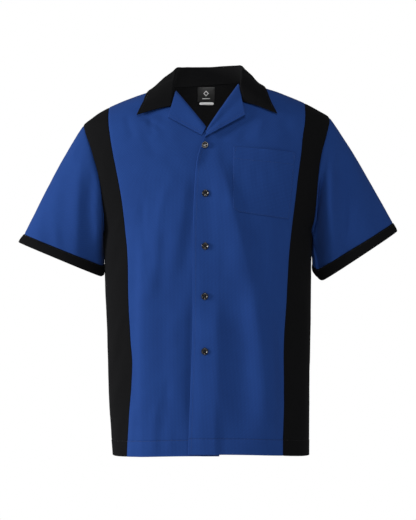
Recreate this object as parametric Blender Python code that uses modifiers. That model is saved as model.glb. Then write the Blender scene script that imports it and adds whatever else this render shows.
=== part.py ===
"""A short-sleeved bowling shirt, filled out as it is worn.

The cloth is a thin wall laid over one body surface, which is made from level
sections. Each panel is a patch of that surface between its own seams, and the
sleeves are lofts from the armholes to the cuffs. +X is the wearer's left, the
front faces -Y, and the origin is the middle of the neck at shoulder height.
Sizes are millimetres until a mesh is made, and metres in the mesh.
"""

import math
from collections import namedtuple

import bmesh
import bpy
import numpy as np
from mathutils import Matrix, Vector

MM = 0.001

# Cloth and seams
CLOTH = 1.1  # one layer of shirting with its seam allowances
LAPEL_WALL = 1.6  # front and facing together
COLLAR_WALL = 1.8
CUFF_WALL = 1.8
POCKET_WALL = 1.0
LABEL_WALL = 0.8
SEAM_GAP = 0.5  # between two panels, across the outside
SHOULDER_GAP = 0.8
UNDER = 1.0  # how far each front moves from the other where they lap

# Body
POWER = 2.4  # roundness of a level section, 2 is an ellipse
SHOULDER_SEAM = 0.045  # angle of the shoulder seam in front of the ridge
HEM_SIDE = -731.0
HEM_FRONT = (-722.5, -719.5)  # left and right front, as the two lap
HEM_BACK = -733.0
UNDERARM = (-292.0, -296.0)  # left, right
SHOULDER_POINT = (-77.0, -61.0)
ARMHOLE_FRONT = 0.50  # how far the armhole cuts into the front, as an angle
ARMHOLE_BACK = 0.50

# Grid
FRONT_COLUMNS = 10
SIDE_COLUMNS = 4
NECK_ROWS = 3
ROLL_ROWS = 6
BODY_ROWS = 16
ARMHOLE_ROWS = 13
SHOULDER_ROWS = 7
BACK_COLUMNS = 14
SLEEVE_ROWS = 9

Section = namedtuple("Section", "z left right front back")
SECTIONS = (
    Section(30, 22, 40, 40, 52),
    Section(14, 48, 75, 52, 66),
    Section(4, 75, 100, 59, 72),
    Section(-12, 125, 147, 68, 82),
    Section(-24, 159, 177, 75, 90),
    Section(-36, 188, 203, 82, 96),
    Section(-48, 211, 225, 87, 101),
    Section(-60, 229, 243, 92, 105),
    Section(-77, 248, 250, 97, 109),
    Section(-100, 252, 252, 103, 113),
    Section(-136, 250, 250, 110, 117),
    Section(-183, 240, 245, 115, 120),
    Section(-232, 226, 234, 118, 120),
    Section(-260, 216, 224, 119, 118),
    Section(-292, 207, 209, 119.5, 116),
    Section(-380, 205, 207, 118, 111),
    Section(-500, 200, 205.5, 117, 108),
    Section(-600, 197.5, 203.5, 118, 108),
    Section(-740, 188.5, 203, 121, 110),
)

Neck = namedtuple("Neck", "angle left right")  # neckline height round the neck
NECKLINE = (
    Neck(-90, 12, 12),
    Neck(-70, 10, 13),
    Neck(-45, 6, 14.5),
    Neck(-20, 4.3, 14.3),
    Neck(0, 4, 14),
    Neck(30, 2.5, 12),
    Neck(50, -3, 6.5),
    Neck(70, -18, -5),
)

Princess = namedtuple("Princess", "z left right")  # distance of the seam from the middle
PRINCESS = (
    Princess(-30, 196, 193),
    Princess(-70, 194.5, 191.5),
    Princess(-100, 191, 187),
    Princess(-140, 184, 182.5),
    Princess(-180, 176, 177),
    Princess(-230, 167, 171),
    Princess(-280, 161.5, 165),
    Princess(-340, 156, 159),
    Princess(-420, 154.5, 154.5),
    Princess(-500, 150, 149.5),
    Princess(-545, 146.5, 148.7),
    Princess(-590, 148.4, 148.7),
    Princess(-640, 152.5, 148.7),
    Princess(-740, 158, 148.7),
)
PRINCESS_TOP = (-39.0, -32.0)  # height of its top on the shoulder seam
PRINCESS_CHEST = -160.0  # the height that is level with the foot of the neck opening

Edge = namedtuple("Edge", "z x")
ROLL_TOP = (Edge(-18, -61), Edge(-4, 60))
NECK_FOOT = Edge(-96, 0)
OVER_EDGE = (  # the front that laps over
    NECK_FOOT,
    Edge(-106, -4.5),
    Edge(-122, -12),
    Edge(-151, -20.5),
    Edge(-200, -25),
    Edge(-305, -28.5),
    Edge(-460, -29),
    Edge(-576, -32.5),
    Edge(-690, -36.5),
    Edge(-721, -37.5),
)
UNDER_EDGE = (
    NECK_FOOT,
    Edge(-108, 9),
    Edge(-128, 17.5),
    Edge(-155, 21),
    Edge(-300, 22),
    Edge(-721, 22.5),
)

Lapel = namedtuple("Lapel", "side top_x top_z foot_x foot_z tip_x tip_z end_x end_z")
LAPELS = (
    Lapel(-1, -61, -18, -4, -88.5, -76, -66, -11, -101.5),
    Lapel(1, 60, -4, 1, -95, 72.5, -63.5, 2.5, -106.5),
)
LAPEL_ROLL = 3.2  # radius of its soft roll
GORGE = 0.5  # the share of the lapel's top edge that is sewn to the collar

Station = namedtuple(
    "Station", "angle sewn roll roll_x roll_y roll_z edge_x edge_y edge_z"
)
COLLAR = (  # left front end, round the back, to the right front end
    Station(90, GORGE, 1.6, -72, -84, -44, -137, -82, -60),
    Station(69, 0.06, 2.4, -68, -72, -14, -128.5, -68, -38),
    Station(40, 0, 3.4, -66, -38, 15, -118.5, -40, -15),
    Station(5, 0, 4.0, -65, 0, 35, -110, 2, -3),
    Station(-28, 0, 4.2, -60, 34, 45.5, -95, 50, -8),
    Station(-60, 0, 4.2, -36, 64, 49, -56, 88, -12),
    Station(-90, 0, 4.2, 3, 76, 51, 0, 101, -14),
    Station(-120, 0, 4.2, 42, 64, 52, 58, 88, -10),
    Station(-152, 0, 4.2, 66, 34, 49.5, 94, 50, -4),
    Station(-185, 0, 4.0, 71, 0, 40, 106, 2, 2),
    Station(-220, 0, 3.4, 67, -38, 22, 114, -40, -10),
    Station(-246, 0.06, 2.4, 65, -70, -2, 125, -66, -34),
    Station(-270, GORGE, 1.6, 72, -82, -35, 135, -80, -57),
)
COLLAR_STEPS = 24

Cuff = namedtuple("Cuff", "side outer_x outer_z inner_x inner_z depth middle_y tuck_x tuck_z")
SLEEVE_END = (
    Cuff(-1, -365.5, -292, -209.5, -355.5, 44, -3, 5, 3),
    Cuff(1, 370, -270, 218.5, -364, 45, -3, -11.5, 11),
)
CUFF_END = (
    Cuff(-1, -377, -308, -211, -377, 46, -3, 6.5, 4),
    Cuff(1, 378.5, -286.5, 226.5, -386.5, 47, -3, -19.5, 20),
)
TUCK_AT, TUCK_WIDE = 3.45, 0.3  # where a cuff is pushed in, against the side of the body
SLEEVE_TOP_SWELL = 4.0
SLEEVE_SIDE_SWELL = 12.0

POCKET_TOP = (49.4, -124.0, 171.0, -134.7)  # x, z of its two upper corners
POCKET_FOOT = (49.0, -250.0, 158.0, -264.7)
POCKET_MITRE = (0.11, 7.0)  # share of the width, and how far the corner is cut up
POCKET_GRID = 8
POCKET_GAPE = 2.5

Fold = namedtuple("Fold", "piece x1 z1 x2 z2 width height")  # a trough is negative
FOLDS = (
    Fold("front", -141, -545, -144, -760, 15, 3.0),
    Fold("front", -39, -430, -35, -740, 17, -2.6),
    Fold("front", -92, -300, -84, -640, 26, 1.8),
    Fold("front", -96, -70, -60, -210, 20, -1.8),
    Fold("front", 12, -120, 50, -330, 18, 2.6),
    Fold("front", 45, -280, 78, -520, 20, 2.2),
    Fold("front", 58, -240, 98, -500, 17, -2.6),
    Fold("front", 29, -400, 30, -720, 15, -2.4),
    Fold("front", 141, -580, 142, -760, 16, -3.0),
    Fold("front", 104, -500, 108, -760, 22, 2.2),
    Fold("front", -199, -430, -164, -640, 16, 2.2),
    Fold("front", -186, -560, -172, -760, 14, -2.2),
    Fold("front", 182, -420, 176, -700, 16, -1.8),
    Fold("back", -118, -150, -92, -420, 30, 3.0),
    Fold("back", 112, -170, 88, -460, 28, 2.6),
    Fold("back", -62, -380, -70, -760, 24, 3.4),
    Fold("back", 48, -440, 62, -760, 26, 3.0),
    Fold("back", -8, -500, -4, -760, 20, -2.6),
    Fold("back", 132, -540, 140, -760, 20, -2.4),
    Fold("back", -136, -480, -142, -740, 18, -2.0),
    Fold("sleeve", -228, -190, -236, -350, 13, -4.0),
    Fold("sleeve", -262, -150, -300, -330, 18, 2.6),
    Fold("sleeve", 226, -180, 238, -360, 12, -4.0),
    Fold("sleeve", 258, -110, 272, -330, 14, -3.4),
    Fold("sleeve", 288, -150, 318, -300, 18, 2.4),
)

Button = namedtuple("Button", "x z")
BUTTONS = (
    Button(-3.8, -126),
    Button(-2.8, -217),
    Button(-4.4, -317),
    Button(-5.2, -414),
    Button(-5.2, -520),
)
BUTTON_DIAMETER = 13.6
BUTTON_THICK = 2.6
BUTTON_HOLE = 1.7
BUTTON_HOLE_CIRCLE = 3.6
BUTTON_STEPS = 28

LABEL = (-3.0, -2.0, 35.0, 28.0)  # middle x, z from the neckline up, width, height
SIZE_TAB = (-2.0, -31.0, 29.0, 5.0)

BLUE = (0.0142, 0.0482, 0.1981, 1.0)
BLACK = (0.0065, 0.0065, 0.0068, 1.0)
GLOSS_BLACK = (0.005, 0.005, 0.005, 1.0)
WHITE = (0.72, 0.72, 0.72, 1.0)


def monotone(xs, ys, at):
    """Smooth interpolation of a table that never overshoots its values."""
    xs, ys = np.asarray(xs, float), np.asarray(ys, float)
    if xs[0] > xs[-1]:
        xs, ys = xs[::-1], ys[::-1]
    at = min(max(at, xs[0]), xs[-1])
    step = np.diff(xs)
    slope = np.diff(ys) / step
    i = min(int(np.searchsorted(xs, at, side="right")) - 1, len(xs) - 2)

    def tangent(k):
        if k == 0:
            return slope[0]
        if k == len(xs) - 1:
            return slope[-1]
        before, after = slope[k - 1], slope[k]
        if before * after <= 0:
            return 0.0
        w1, w2 = 2 * step[k] + step[k - 1], step[k] + 2 * step[k - 1]
        return (w1 + w2) / (w1 / before + w2 / after)

    h = step[i]
    t = (at - xs[i]) / h
    return float(
        ys[i] * (1 + 2 * t) * (1 - t) ** 2
        + h * tangent(i) * t * (1 - t) ** 2
        + ys[i + 1] * t * t * (3 - 2 * t)
        + h * tangent(i + 1) * t * t * (t - 1)
    )


def column(table, name):
    """One named column of a table."""
    return [getattr(row, name) for row in table]


def smooth(t):
    """Ease from 0 to 1."""
    t = min(max(t, 0.0), 1.0)
    return t * t * (3 - 2 * t)


def half_width(side, z):
    """Half width of the section at z, on the given side."""
    return monotone(column(SECTIONS, "z"), column(SECTIONS, "left" if side < 0 else "right"), z)


def depth(y_side, z):
    """Depth of the section at z, in front (-1) or behind (+1)."""
    return monotone(column(SECTIONS, "z"), column(SECTIONS, "front" if y_side < 0 else "back"), z)


def ring_point(side, angle, z):
    """A point of the body; angle 0 is the side, a right angle the middle front."""
    share = 2 / POWER
    x = side * half_width(side, z) * abs(math.cos(angle)) ** share
    y = depth(-1 if angle >= 0 else 1, z) * abs(math.sin(angle)) ** share
    return np.array((x, -y if angle >= 0 else y, z))


def body_point(face, wrap, z):
    """A point of the body; wrap runs from -1 (left side) over 0 (middle) to 1."""
    side = -1 if wrap < 0 else 1
    angle = (1 - abs(wrap)) * math.pi / 2
    return ring_point(side, angle if face == "front" else -angle, z)


def wrap_of_x(x, z):
    """The wrap at which the section at z has this x."""
    side = -1 if x < 0 else 1
    share = min(abs(x) / half_width(side, z), 1.0) ** (POWER / 2)
    return side * 2 / math.pi * math.asin(share)


def fullness(point):
    """Below 0 inside the body, 0 on it and above 0 outside."""
    x, y, z = point
    return (
        (abs(x) / half_width(-1 if x < 0 else 1, z)) ** POWER
        + (abs(y) / depth(-1 if y < 0 else 1, z)) ** POWER
        - 1
    )


def slope_at(point):
    """How fullness grows along X, Y and Z."""
    step = 0.25
    found = []
    for axis in range(3):
        move = np.zeros(3)
        move[axis] = step
        found.append((fullness(point + move) - fullness(point - move)) / (2 * step))
    return np.array(found)


def outward(point):
    """Unit normal of the body at a point on it."""
    grown = slope_at(point)
    return grown / max(np.linalg.norm(grown), 1e-9)


def clear_of_body(point, clearance):
    """The point, moved straight out where it is nearer to the body than clearance."""
    point = np.array(point, float)
    for _ in range(8):
        if point[2] > 28:
            break
        grown = slope_at(point)
        size = max(np.linalg.norm(grown), 1e-6)
        short = clearance - fullness(point) / size
        if short <= 0.01:
            break
        point = point + grown / size * min(short, 4.0)
    return point


def relief(piece, point):
    """Height of the folds at a point."""
    total = 0.0
    for fold in FOLDS:
        if fold.piece != piece:
            continue
        run = np.array((fold.x2 - fold.x1, fold.z2 - fold.z1), float)
        long = float(np.linalg.norm(run))
        run /= long
        off = np.array((point[0] - fold.x1, point[2] - fold.z1))
        along = float(off @ run) / long
        across = float(off[0] * run[1] - off[1] * run[0])
        if 0 < along < 1:
            total += fold.height * math.sin(math.pi * along) ** 0.8 * math.exp(
                -((across / fold.width) ** 2)
            )
    return total


def lap(side, x):
    """How far a front is moved out (over) or in (under) where the two lap."""
    if side > 0:
        return UNDER * (1 - smooth((x - 28) / 34))
    return -UNDER * smooth((x + 74) / 34)


def cloth_point(face, wrap, z, side=0):
    """A point of the draped cloth, with its folds."""
    base = body_point(face, wrap, z)
    facing = outward(base)
    level = math.hypot(facing[0], facing[1])
    amount = relief(face, base) * level * abs(facing[1])
    if side and face == "front":
        amount += lap(side, base[0])
    return base + facing * amount


def front_skin(x, z, side, out):
    """A point over the front at x and z, moved out from the cloth."""
    base = cloth_point("front", wrap_of_x(x, z), z, side)
    return base + outward(base) * out


def evened(face, path, count):
    """Points of a (wrap, z) path at even distances along the body."""
    path = np.array(path, float)
    places = np.array([body_point(face, w, z) for w, z in path])
    run = np.concatenate([[0], np.cumsum(np.linalg.norm(np.diff(places, axis=0), axis=1))])
    at = np.linspace(0, run[-1], count + 1)
    return np.stack([np.interp(at, run, path[:, k]) for k in (0, 1)], axis=1)


def joined(*paths):
    """Paths laid end to end, with their shared ends once."""
    return np.concatenate([paths[0], *[p[1:] for p in paths[1:]]])


def patch(top, foot, left, right):
    """A Coons patch between four edges, each a list of (wrap, z)."""
    rows, columns = len(left) - 1, len(top) - 1
    grid = np.zeros((rows + 1, columns + 1, 2))
    for i in range(rows + 1):
        v = i / rows
        for j in range(columns + 1):
            u = j / columns
            corners = (
                (1 - u) * (1 - v) * top[0]
                + u * (1 - v) * top[-1]
                + (1 - u) * v * foot[0]
                + u * v * foot[-1]
            )
            sides = (1 - u) * left[i] + u * right[i]
            grid[i, j] = (1 - v) * top[j] + v * foot[j] + sides - corners
    return grid


def drawn_in(grid, top=0.0, foot=0.0, left=0.0, right=0.0):
    """The grid with its edges pulled back into it, which leaves the seam gaps."""
    moved = grid.copy()
    for place, inner, gap in (
        (np.s_[0], np.s_[1], top),
        (np.s_[-1], np.s_[-2], foot),
        (np.s_[:, 0], np.s_[:, 1], left),
        (np.s_[:, -1], np.s_[:, -2], right),
    ):
        run = grid[inner] - grid[place]
        size = np.linalg.norm(run, axis=-1, keepdims=True)
        moved[place] = moved[place] + run / size * min(gap, float(size.min()) / 2)
    return moved


def hem_height(wrap, face, side=0):
    """Height of the hem round the body."""
    middle = pick(HEM_FRONT, side) if face == "front" else HEM_BACK
    return middle + (HEM_SIDE - middle) * smooth(abs(wrap))


def seam_wrap(side):
    """Where the shoulder seam lies, as seen from the front."""
    return side * (1 - SHOULDER_SEAM / (math.pi / 2))


def neck_height(side, degrees):
    """Height of the neckline at an angle round the neck."""
    return monotone(
        column(NECKLINE, "angle"), column(NECKLINE, "left" if side < 0 else "right"), degrees
    )


def pick(pair, side):
    """The left or the right value of a pair."""
    return pair[0] if side < 0 else pair[1]


def shoulder_path(side, low, high, count):
    """The shoulder seam between two heights, from the neck outwards."""
    wrap = seam_wrap(side)
    heights = np.linspace(high, low, 60)
    return evened("front", [(wrap, z) for z in heights], count)


def princess_path(side):
    """The princess seam from the shoulder to the hem, a point for each row."""

    def wrap(z):
        top = pick(PRINCESS_TOP, side)
        away = monotone(
            column(PRINCESS, "z"), column(PRINCESS, "left" if side < 0 else "right"), z
        )
        free = abs(wrap_of_x(side * away, z))
        return side * min(free, abs(seam_wrap(side))) if z < top else seam_wrap(side)

    top = pick(PRINCESS_TOP, side)
    upper = [(wrap(z), z) for z in top + (PRINCESS_CHEST - top) * np.linspace(0, 1, 300) ** 2]
    foot = hem_height(0.43, "front", side)
    lower = [(wrap(z), z) for z in np.linspace(PRINCESS_CHEST, foot, 200)]
    return joined(
        evened("front", upper, NECK_ROWS + ROLL_ROWS), evened("front", lower, BODY_ROWS)
    )


def front_edge_path(side):
    """Neckline, roll line and front edge of one front, a point for each row."""
    top = pick(ROLL_TOP, side)
    start, end = SHOULDER_SEAM, (1 - abs(wrap_of_x(top.x, top.z))) * math.pi / 2
    neck = []
    for angle in np.linspace(start, end, 80):
        share = (angle - start) / (end - start)
        z = neck_height(side, math.degrees(angle))
        z += (top.z - neck_height(side, math.degrees(end))) * share**2
        neck.append((side * (1 - angle / (math.pi / 2)), z))
    roll = []
    for t in np.linspace(0, 1, 60):
        x, z = top.x + (NECK_FOOT.x - top.x) * t, top.z + (NECK_FOOT.z - top.z) * t
        roll.append((wrap_of_x(x, z), z))
    edge = UNDER_EDGE if side < 0 else OVER_EDGE
    fall = []
    for z in np.linspace(NECK_FOOT.z, hem_height(0, "front", side), 200):
        x = monotone(column(edge, "z"), column(edge, "x"), z)
        fall.append((wrap_of_x(x, z), z))
    return joined(
        evened("front", neck, NECK_ROWS),
        evened("front", roll, ROLL_ROWS),
        evened("front", fall, BODY_ROWS),
    )


def armhole(side, face):
    """The armhole from the shoulder seam to the underarm, as (wrap, z)."""
    top, foot = pick(SHOULDER_POINT, side), pick(UNDERARM, side)
    reach = ARMHOLE_FRONT if face == "front" else -ARMHOLE_BACK
    path = []
    for k in range(ARMHOLE_ROWS + 1):
        u = k / ARMHOLE_ROWS
        angle = SHOULDER_SEAM * (1 - u) + reach * math.sin(math.pi * u)
        z = (top + foot) / 2 + (top - foot) / 2 * math.cos(math.pi * u)
        toward_front = angle if face == "front" else -angle
        path.append((side * (1 - toward_front / (math.pi / 2)), z))
    return np.array(path)


def side_path(side, face):
    """Armhole and side seam, a point for each row."""
    rows = NECK_ROWS + ROLL_ROWS + BODY_ROWS - ARMHOLE_ROWS
    fall = [(side * 1.0, z) for z in np.linspace(pick(UNDERARM, side), HEM_SIDE, rows + 1)]
    return joined(armhole(side, face), np.array(fall))


def hem_path(face, start, end, count, side=0):
    """The hem between two wraps."""
    path = [(w, hem_height(w, face, side)) for w in np.linspace(start, end, 60)]
    return evened(face, path, count)


def laid(face, grid, side=0):
    """A (wrap, z) grid as points of the draped cloth."""
    return np.array([[cloth_point(face, w, z, side) for w, z in row] for row in grid])


def material(name, colour, roughness):
    """A plain Principled material."""
    made = bpy.data.materials.new(name)
    made.use_nodes = True
    shader = made.node_tree.nodes["Principled BSDF"]
    shader.inputs["Base Color"].default_value = colour
    shader.inputs["Roughness"].default_value = roughness
    shader.inputs["Metallic"].default_value = 0.0
    made.diffuse_color = colour
    return made


def add_object(name, mesh, finish, collection, parent):
    """An object in the shirt's collection."""
    made = bpy.data.objects.new(name, mesh)
    mesh.materials.clear()
    mesh.materials.append(finish)
    collection.objects.link(made)
    made.parent = parent
    return made


def sheet_mesh(name, grid, away, closed=False):
    """The open surface through a grid of points, with its faces turned outwards.

    away gives the direction that is outside at a point."""
    rows, columns = grid.shape[:2]
    bm = bmesh.new()
    verts = [[bm.verts.new(Vector(p) * MM) for p in row] for row in grid]
    for i in range(rows - 1):
        for j in range(columns if closed else columns - 1):
            k = (j + 1) % columns
            bm.faces.new((verts[i][j], verts[i + 1][j], verts[i + 1][k], verts[i][k]))
    bm.normal_update()
    facing = sum(
        f.normal.dot(Vector(away(np.array(f.calc_center_median()) / MM))) * f.calc_area()
        for f in bm.faces
    )
    if facing < 0:
        bmesh.ops.reverse_faces(bm, faces=bm.faces[:])
    mesh = bpy.data.meshes.new(name)
    bm.to_mesh(mesh)
    bm.free()
    mesh.shade_smooth()
    return mesh


def sheet(name, grid, wall, away, finish, where, closed=False):
    """A cloth piece: an open surface with its wall laid inside it."""
    collection, parent = where
    made = add_object(
        name, sheet_mesh(name, grid, away, closed), finish, collection, parent
    )
    thick = made.modifiers.new("cloth", "SOLIDIFY")
    thick.thickness = wall * MM
    thick.offset = -1
    thick.use_even_offset = True
    return made


def front_panel(side):
    """Points of one blue front."""
    inner, outer = front_edge_path(side), princess_path(side)
    top = shoulder_path(side, pick(PRINCESS_TOP, side), inner[0][1], FRONT_COLUMNS)
    top[0], top[-1] = inner[0], outer[0]
    foot = hem_path("front", inner[-1][0], outer[-1][0], FRONT_COLUMNS, side)
    foot[0], foot[-1] = inner[-1], outer[-1]
    grid = laid("front", patch(top, foot, inner, outer), side)
    return drawn_in(grid, top=SHOULDER_GAP / 2, right=SEAM_GAP / 2)


def side_panel(side):
    """Points of one black side front."""
    inner, outer = princess_path(side), side_path(side, "front")
    top = shoulder_path(side, outer[0][1], inner[0][1], SIDE_COLUMNS)
    top[0], top[-1] = inner[0], outer[0]
    foot = hem_path("front", inner[-1][0], outer[-1][0], SIDE_COLUMNS, side)
    foot[0], foot[-1] = inner[-1], outer[-1]
    grid = laid("front", patch(top, foot, inner, outer))
    return drawn_in(
        grid, top=SHOULDER_GAP / 2, left=SEAM_GAP / 2, right=SEAM_GAP / 2
    )


def over_ridge(side):
    """The shoulder seam's wrap as the back reaches it, past the ridge."""
    return side * (1 + SHOULDER_SEAM / (math.pi / 2))


def back_panel():
    """Points of the back, in level rows from shoulder seam to shoulder seam."""

    def outline(side):
        fall = side_path(side, "back")
        z = np.linspace(neck_height(side, math.degrees(SHOULDER_SEAM)), fall[0][1], 80)
        seam = evened("back", [(over_ridge(side), h) for h in z], SHOULDER_ROWS)
        seam[-1] = fall[0]
        return joined(seam, fall)

    left, right = outline(-1), outline(1)
    neck = []
    for w in np.linspace(over_ridge(-1), over_ridge(1), 161):
        side = -1 if w < 0 else 1
        neck.append((w, neck_height(side, -(1 - abs(w)) * 90)))
    top = evened("back", neck, BACK_COLUMNS)
    foot = hem_path("back", -1, 1, BACK_COLUMNS)
    top[0], top[-1], foot[0], foot[-1] = left[0], right[0], left[-1], right[-1]
    grid = laid("back", patch(top, foot, left, right))
    gaps = drawn_in(grid, left=SEAM_GAP / 2, right=SEAM_GAP / 2)
    wider = drawn_in(grid, left=SHOULDER_GAP / 2, right=SHOULDER_GAP / 2)
    gaps[: SHOULDER_ROWS + 1] = wider[: SHOULDER_ROWS + 1]
    return gaps


def cuff_ring(cuff, turn, grow=0.0):
    """A point of a sleeve end's ellipse; turn 0 is its top, a right angle its front."""
    outer = np.array((cuff.outer_x, cuff.middle_y, cuff.outer_z), float)
    inner = np.array((cuff.inner_x, cuff.middle_y, cuff.inner_z), float)
    middle, arm = (outer + inner) / 2, (outer - inner) / 2
    arm *= 1 + grow / np.linalg.norm(arm)
    deep = np.array((0, -(cuff.depth + grow), 0))
    push = np.array((cuff.tuck_x, 0, cuff.tuck_z)) * math.exp(-(((turn - TUCK_AT) / TUCK_WIDE) ** 2))
    return middle + arm * math.cos(turn) + deep * math.sin(turn) + push


def armhole_ring(side):
    """The armhole all round, from the shoulder seam over the front and back again."""
    front = [body_point("front", w, z) for w, z in armhole(side, "front")]
    back = [body_point("back", w, z) for w, z in armhole(side, "back")]
    return np.array(front + back[-2:0:-1])


def sleeve(side):
    """Points of a sleeve, rings from the armhole to its end."""
    start, cuff = armhole_ring(side), pick(SLEEVE_END, side)
    count = len(start)
    turns = [2 * math.pi * k / count for k in range(count)]
    end = np.array([cuff_ring(cuff, t) for t in turns])
    grid = np.zeros((SLEEVE_ROWS + 1, count, 3))
    for i in range(SLEEVE_ROWS + 1):
        v = i / SLEEVE_ROWS
        ring = start * (1 - v) + end * v
        middle = ring.mean(axis=0)
        for k, turn in enumerate(turns):
            run = (end[k] - start[k]) / np.linalg.norm(end[k] - start[k])
            out = ring[k] - middle
            out -= run * float(out @ run)
            out /= np.linalg.norm(out)
            hump = math.sin(math.pi * v**0.7)
            swell = SLEEVE_TOP_SWELL * max(math.cos(turn), 0) + (
                SLEEVE_SIDE_SWELL * math.sin(turn) ** 2
            )
            point = ring[k] + out * swell * hump
            point = point + out * relief("sleeve", point) * abs(out[1]) * smooth(v * 4)
            low = smooth((0.5 - 0.5 * math.cos(turn)) * 1.2 - 0.1)
            away = np.array((side * (0.4 + low), 0, -0.4 * (1 - low)))
            point = point + away * (0.8 + 1.8 * low) * (1 - v) ** 6
            grid[i, k] = point
    return grid


def cuff_band(side):
    """Points of a cuff, from the sleeve's end to its own."""
    count = 2 * ARMHOLE_ROWS
    upper, lower = pick(SLEEVE_END, side), pick(CUFF_END, side)
    rings = []
    for share in (0.025, 0.5, 1.0):
        ring = []
        for k in range(count):
            turn = 2 * math.pi * k / count
            a, b = cuff_ring(upper, turn, 0.5), cuff_ring(lower, turn, 0.5)
            ring.append(a * (1 - share) + b * share)
        rings.append(ring)
    return np.array(rings)


def lapel(row):
    """Points of a turned-out lapel, from the roll line to its free edge."""
    grid = []
    for i in range(ROLL_ROWS + 1):
        s = i / ROLL_ROWS
        root = np.array((row.top_x + (row.foot_x - row.top_x) * s,
                         row.top_z + (row.foot_z - row.top_z) * s))
        rim = np.array((row.tip_x + (row.end_x - row.tip_x) * s,
                        row.tip_z + (row.end_z - row.tip_z) * s))
        wide = float(np.linalg.norm(rim - root))
        run = (rim - root) / wide
        r = min(LAPEL_ROLL, 0.14 * wide + 0.5)
        profile = (
            (-0.9, 0.1),
            (-1.2 - 0.8 * r, r),
            (-0.5, 2 * r + 0.3),
            (0.2 * wide, 2 * r + 0.7),
            (0.45 * wide, 1.2 * r + 2.0),
            (0.75 * wide, 0.5 * r + 2.5),
            (wide, 2.9),
        )
        line = []
        for along, out in profile:
            x, z = root + run * along
            base = body_point("front", wrap_of_x(x, z), z)
            line.append(base + outward(base) * (out + lap(row.side, x)))
        grid.append(line)
    return np.array(grid)


def collar_seam(station):
    """Where the collar starts, on its visible side, at a station."""
    side = -1 if station.roll_x < 0 else 1
    if station.sewn > 0:
        row = LAPELS[0] if side < 0 else LAPELS[1]
        x = row.top_x + (row.tip_x - row.top_x) * station.sewn + side * 2.2
        z = row.top_z + (row.tip_z - row.top_z) * station.sewn + 1.0
        base = body_point("front", wrap_of_x(x, z), z)
        return base + outward(base) * (COLLAR_WALL + 0.9 + 2.4 * station.sewn)
    degrees = station.angle if side < 0 or station.angle > -90 else -180 - station.angle
    degrees = max(min(degrees, 69), -90)
    base = ring_point(side, math.radians(degrees), neck_height(side, degrees))
    inward = -base * np.array((1, 1, 0))
    inward /= np.linalg.norm(inward)
    return base + inward * (COLLAR_WALL + 0.7) + np.array((0, 0, 0.9))


def collar():
    """Points of the collar: a line from seam over the roll to the edge per step."""
    names = ("roll", "roll_x", "roll_y", "roll_z", "edge_x", "edge_y", "edge_z")
    seams = [collar_seam(s) for s in COLLAR]
    place = list(range(len(COLLAR)))
    grid = []
    for i in range(COLLAR_STEPS + 1):
        at = i * (len(COLLAR) - 1) / COLLAR_STEPS
        value = {n: monotone(place, column(COLLAR, n), at) for n in names}
        seam = np.array([monotone(place, [s[k] for s in seams], at) for k in range(3)])
        roll = np.array([value[f"roll_{k}"] for k in "xyz"])
        edge = np.array([value[f"edge_{k}"] for k in "xyz"])
        out = (edge - roll) * np.array((1, 1, 0))
        out /= np.linalg.norm(out)
        r = value["roll"]
        stands = smooth((float(np.linalg.norm(roll - seam)) - 2.5 * r) / (3 * r))
        if stands < 1:
            roll = clear_of_body(roll, COLLAR_WALL + 1.9)
        inner = roll - out * r + np.array((0, 0, -1.1 * r))
        inner = inner * stands + (seam * 0.4 + roll * 0.6) * (1 - stands)
        outer = roll + out * 1.2 * r + np.array((0, 0, -1.1 * r * stands))
        outer = clear_of_body(outer, COLLAR_WALL + 2.0)
        bulge = out * 0.55 * r + np.array((0, 0, 0.55 * r))
        line = [
            seam,
            seam * 0.45 + inner * 0.55,
            inner,
            roll,
            outer,
            clear_of_body(outer * 0.67 + edge * 0.33 + bulge, 5.0),
            clear_of_body(outer * 0.33 + edge * 0.67 + bulge * 0.7, 4.0),
            clear_of_body(edge, 3.2),
        ]
        grid.append(line)
    return np.array(grid)


def pocket():
    """Points of the patch pocket, laid over the right-hand front."""
    n = POCKET_GRID
    x1, z1, x2, z2 = POCKET_TOP
    x3, z3, x4, z4 = POCKET_FOOT
    share, cut = POCKET_MITRE
    grid = []
    for i in range(n + 1):
        v = i / n
        line = []
        for j in range(n + 1):
            u = 0 if j == 0 else share + (1 - share) * (j - 1) / (n - 1)
            x = (x1 + (x2 - x1) * u) * (1 - v) + (x3 + (x4 - x3) * u) * v
            foot = z3 + (z4 - z3) * u + (cut if j == 0 else 0)
            z = (z1 + (z2 - z1) * u) * (1 - v) + foot * v
            gape = POCKET_GAPE * (1 - v) ** 5 * math.sin(math.pi * min(u, 1) ** 1.4) ** 2
            line.append(front_skin(x, z, 1, POCKET_WALL + 0.7 + gape))
        grid.append(line)
    return np.array(grid)


def label_grid(label, inside, columns=4, rows=2):
    """Points of a woven label inside the back of the neck."""
    middle, top, wide, high = label
    top += neck_height(1, -90)
    grid = []
    for i in range(rows + 1):
        z = top - high * i / rows
        line = []
        for j in range(columns + 1):
            x = middle + wide * (j / columns - 0.5)
            base = cloth_point("back", wrap_of_x(x, z), z)
            line.append(base - outward(base) * inside)
        grid.append(line)
    return np.array(grid)


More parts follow.
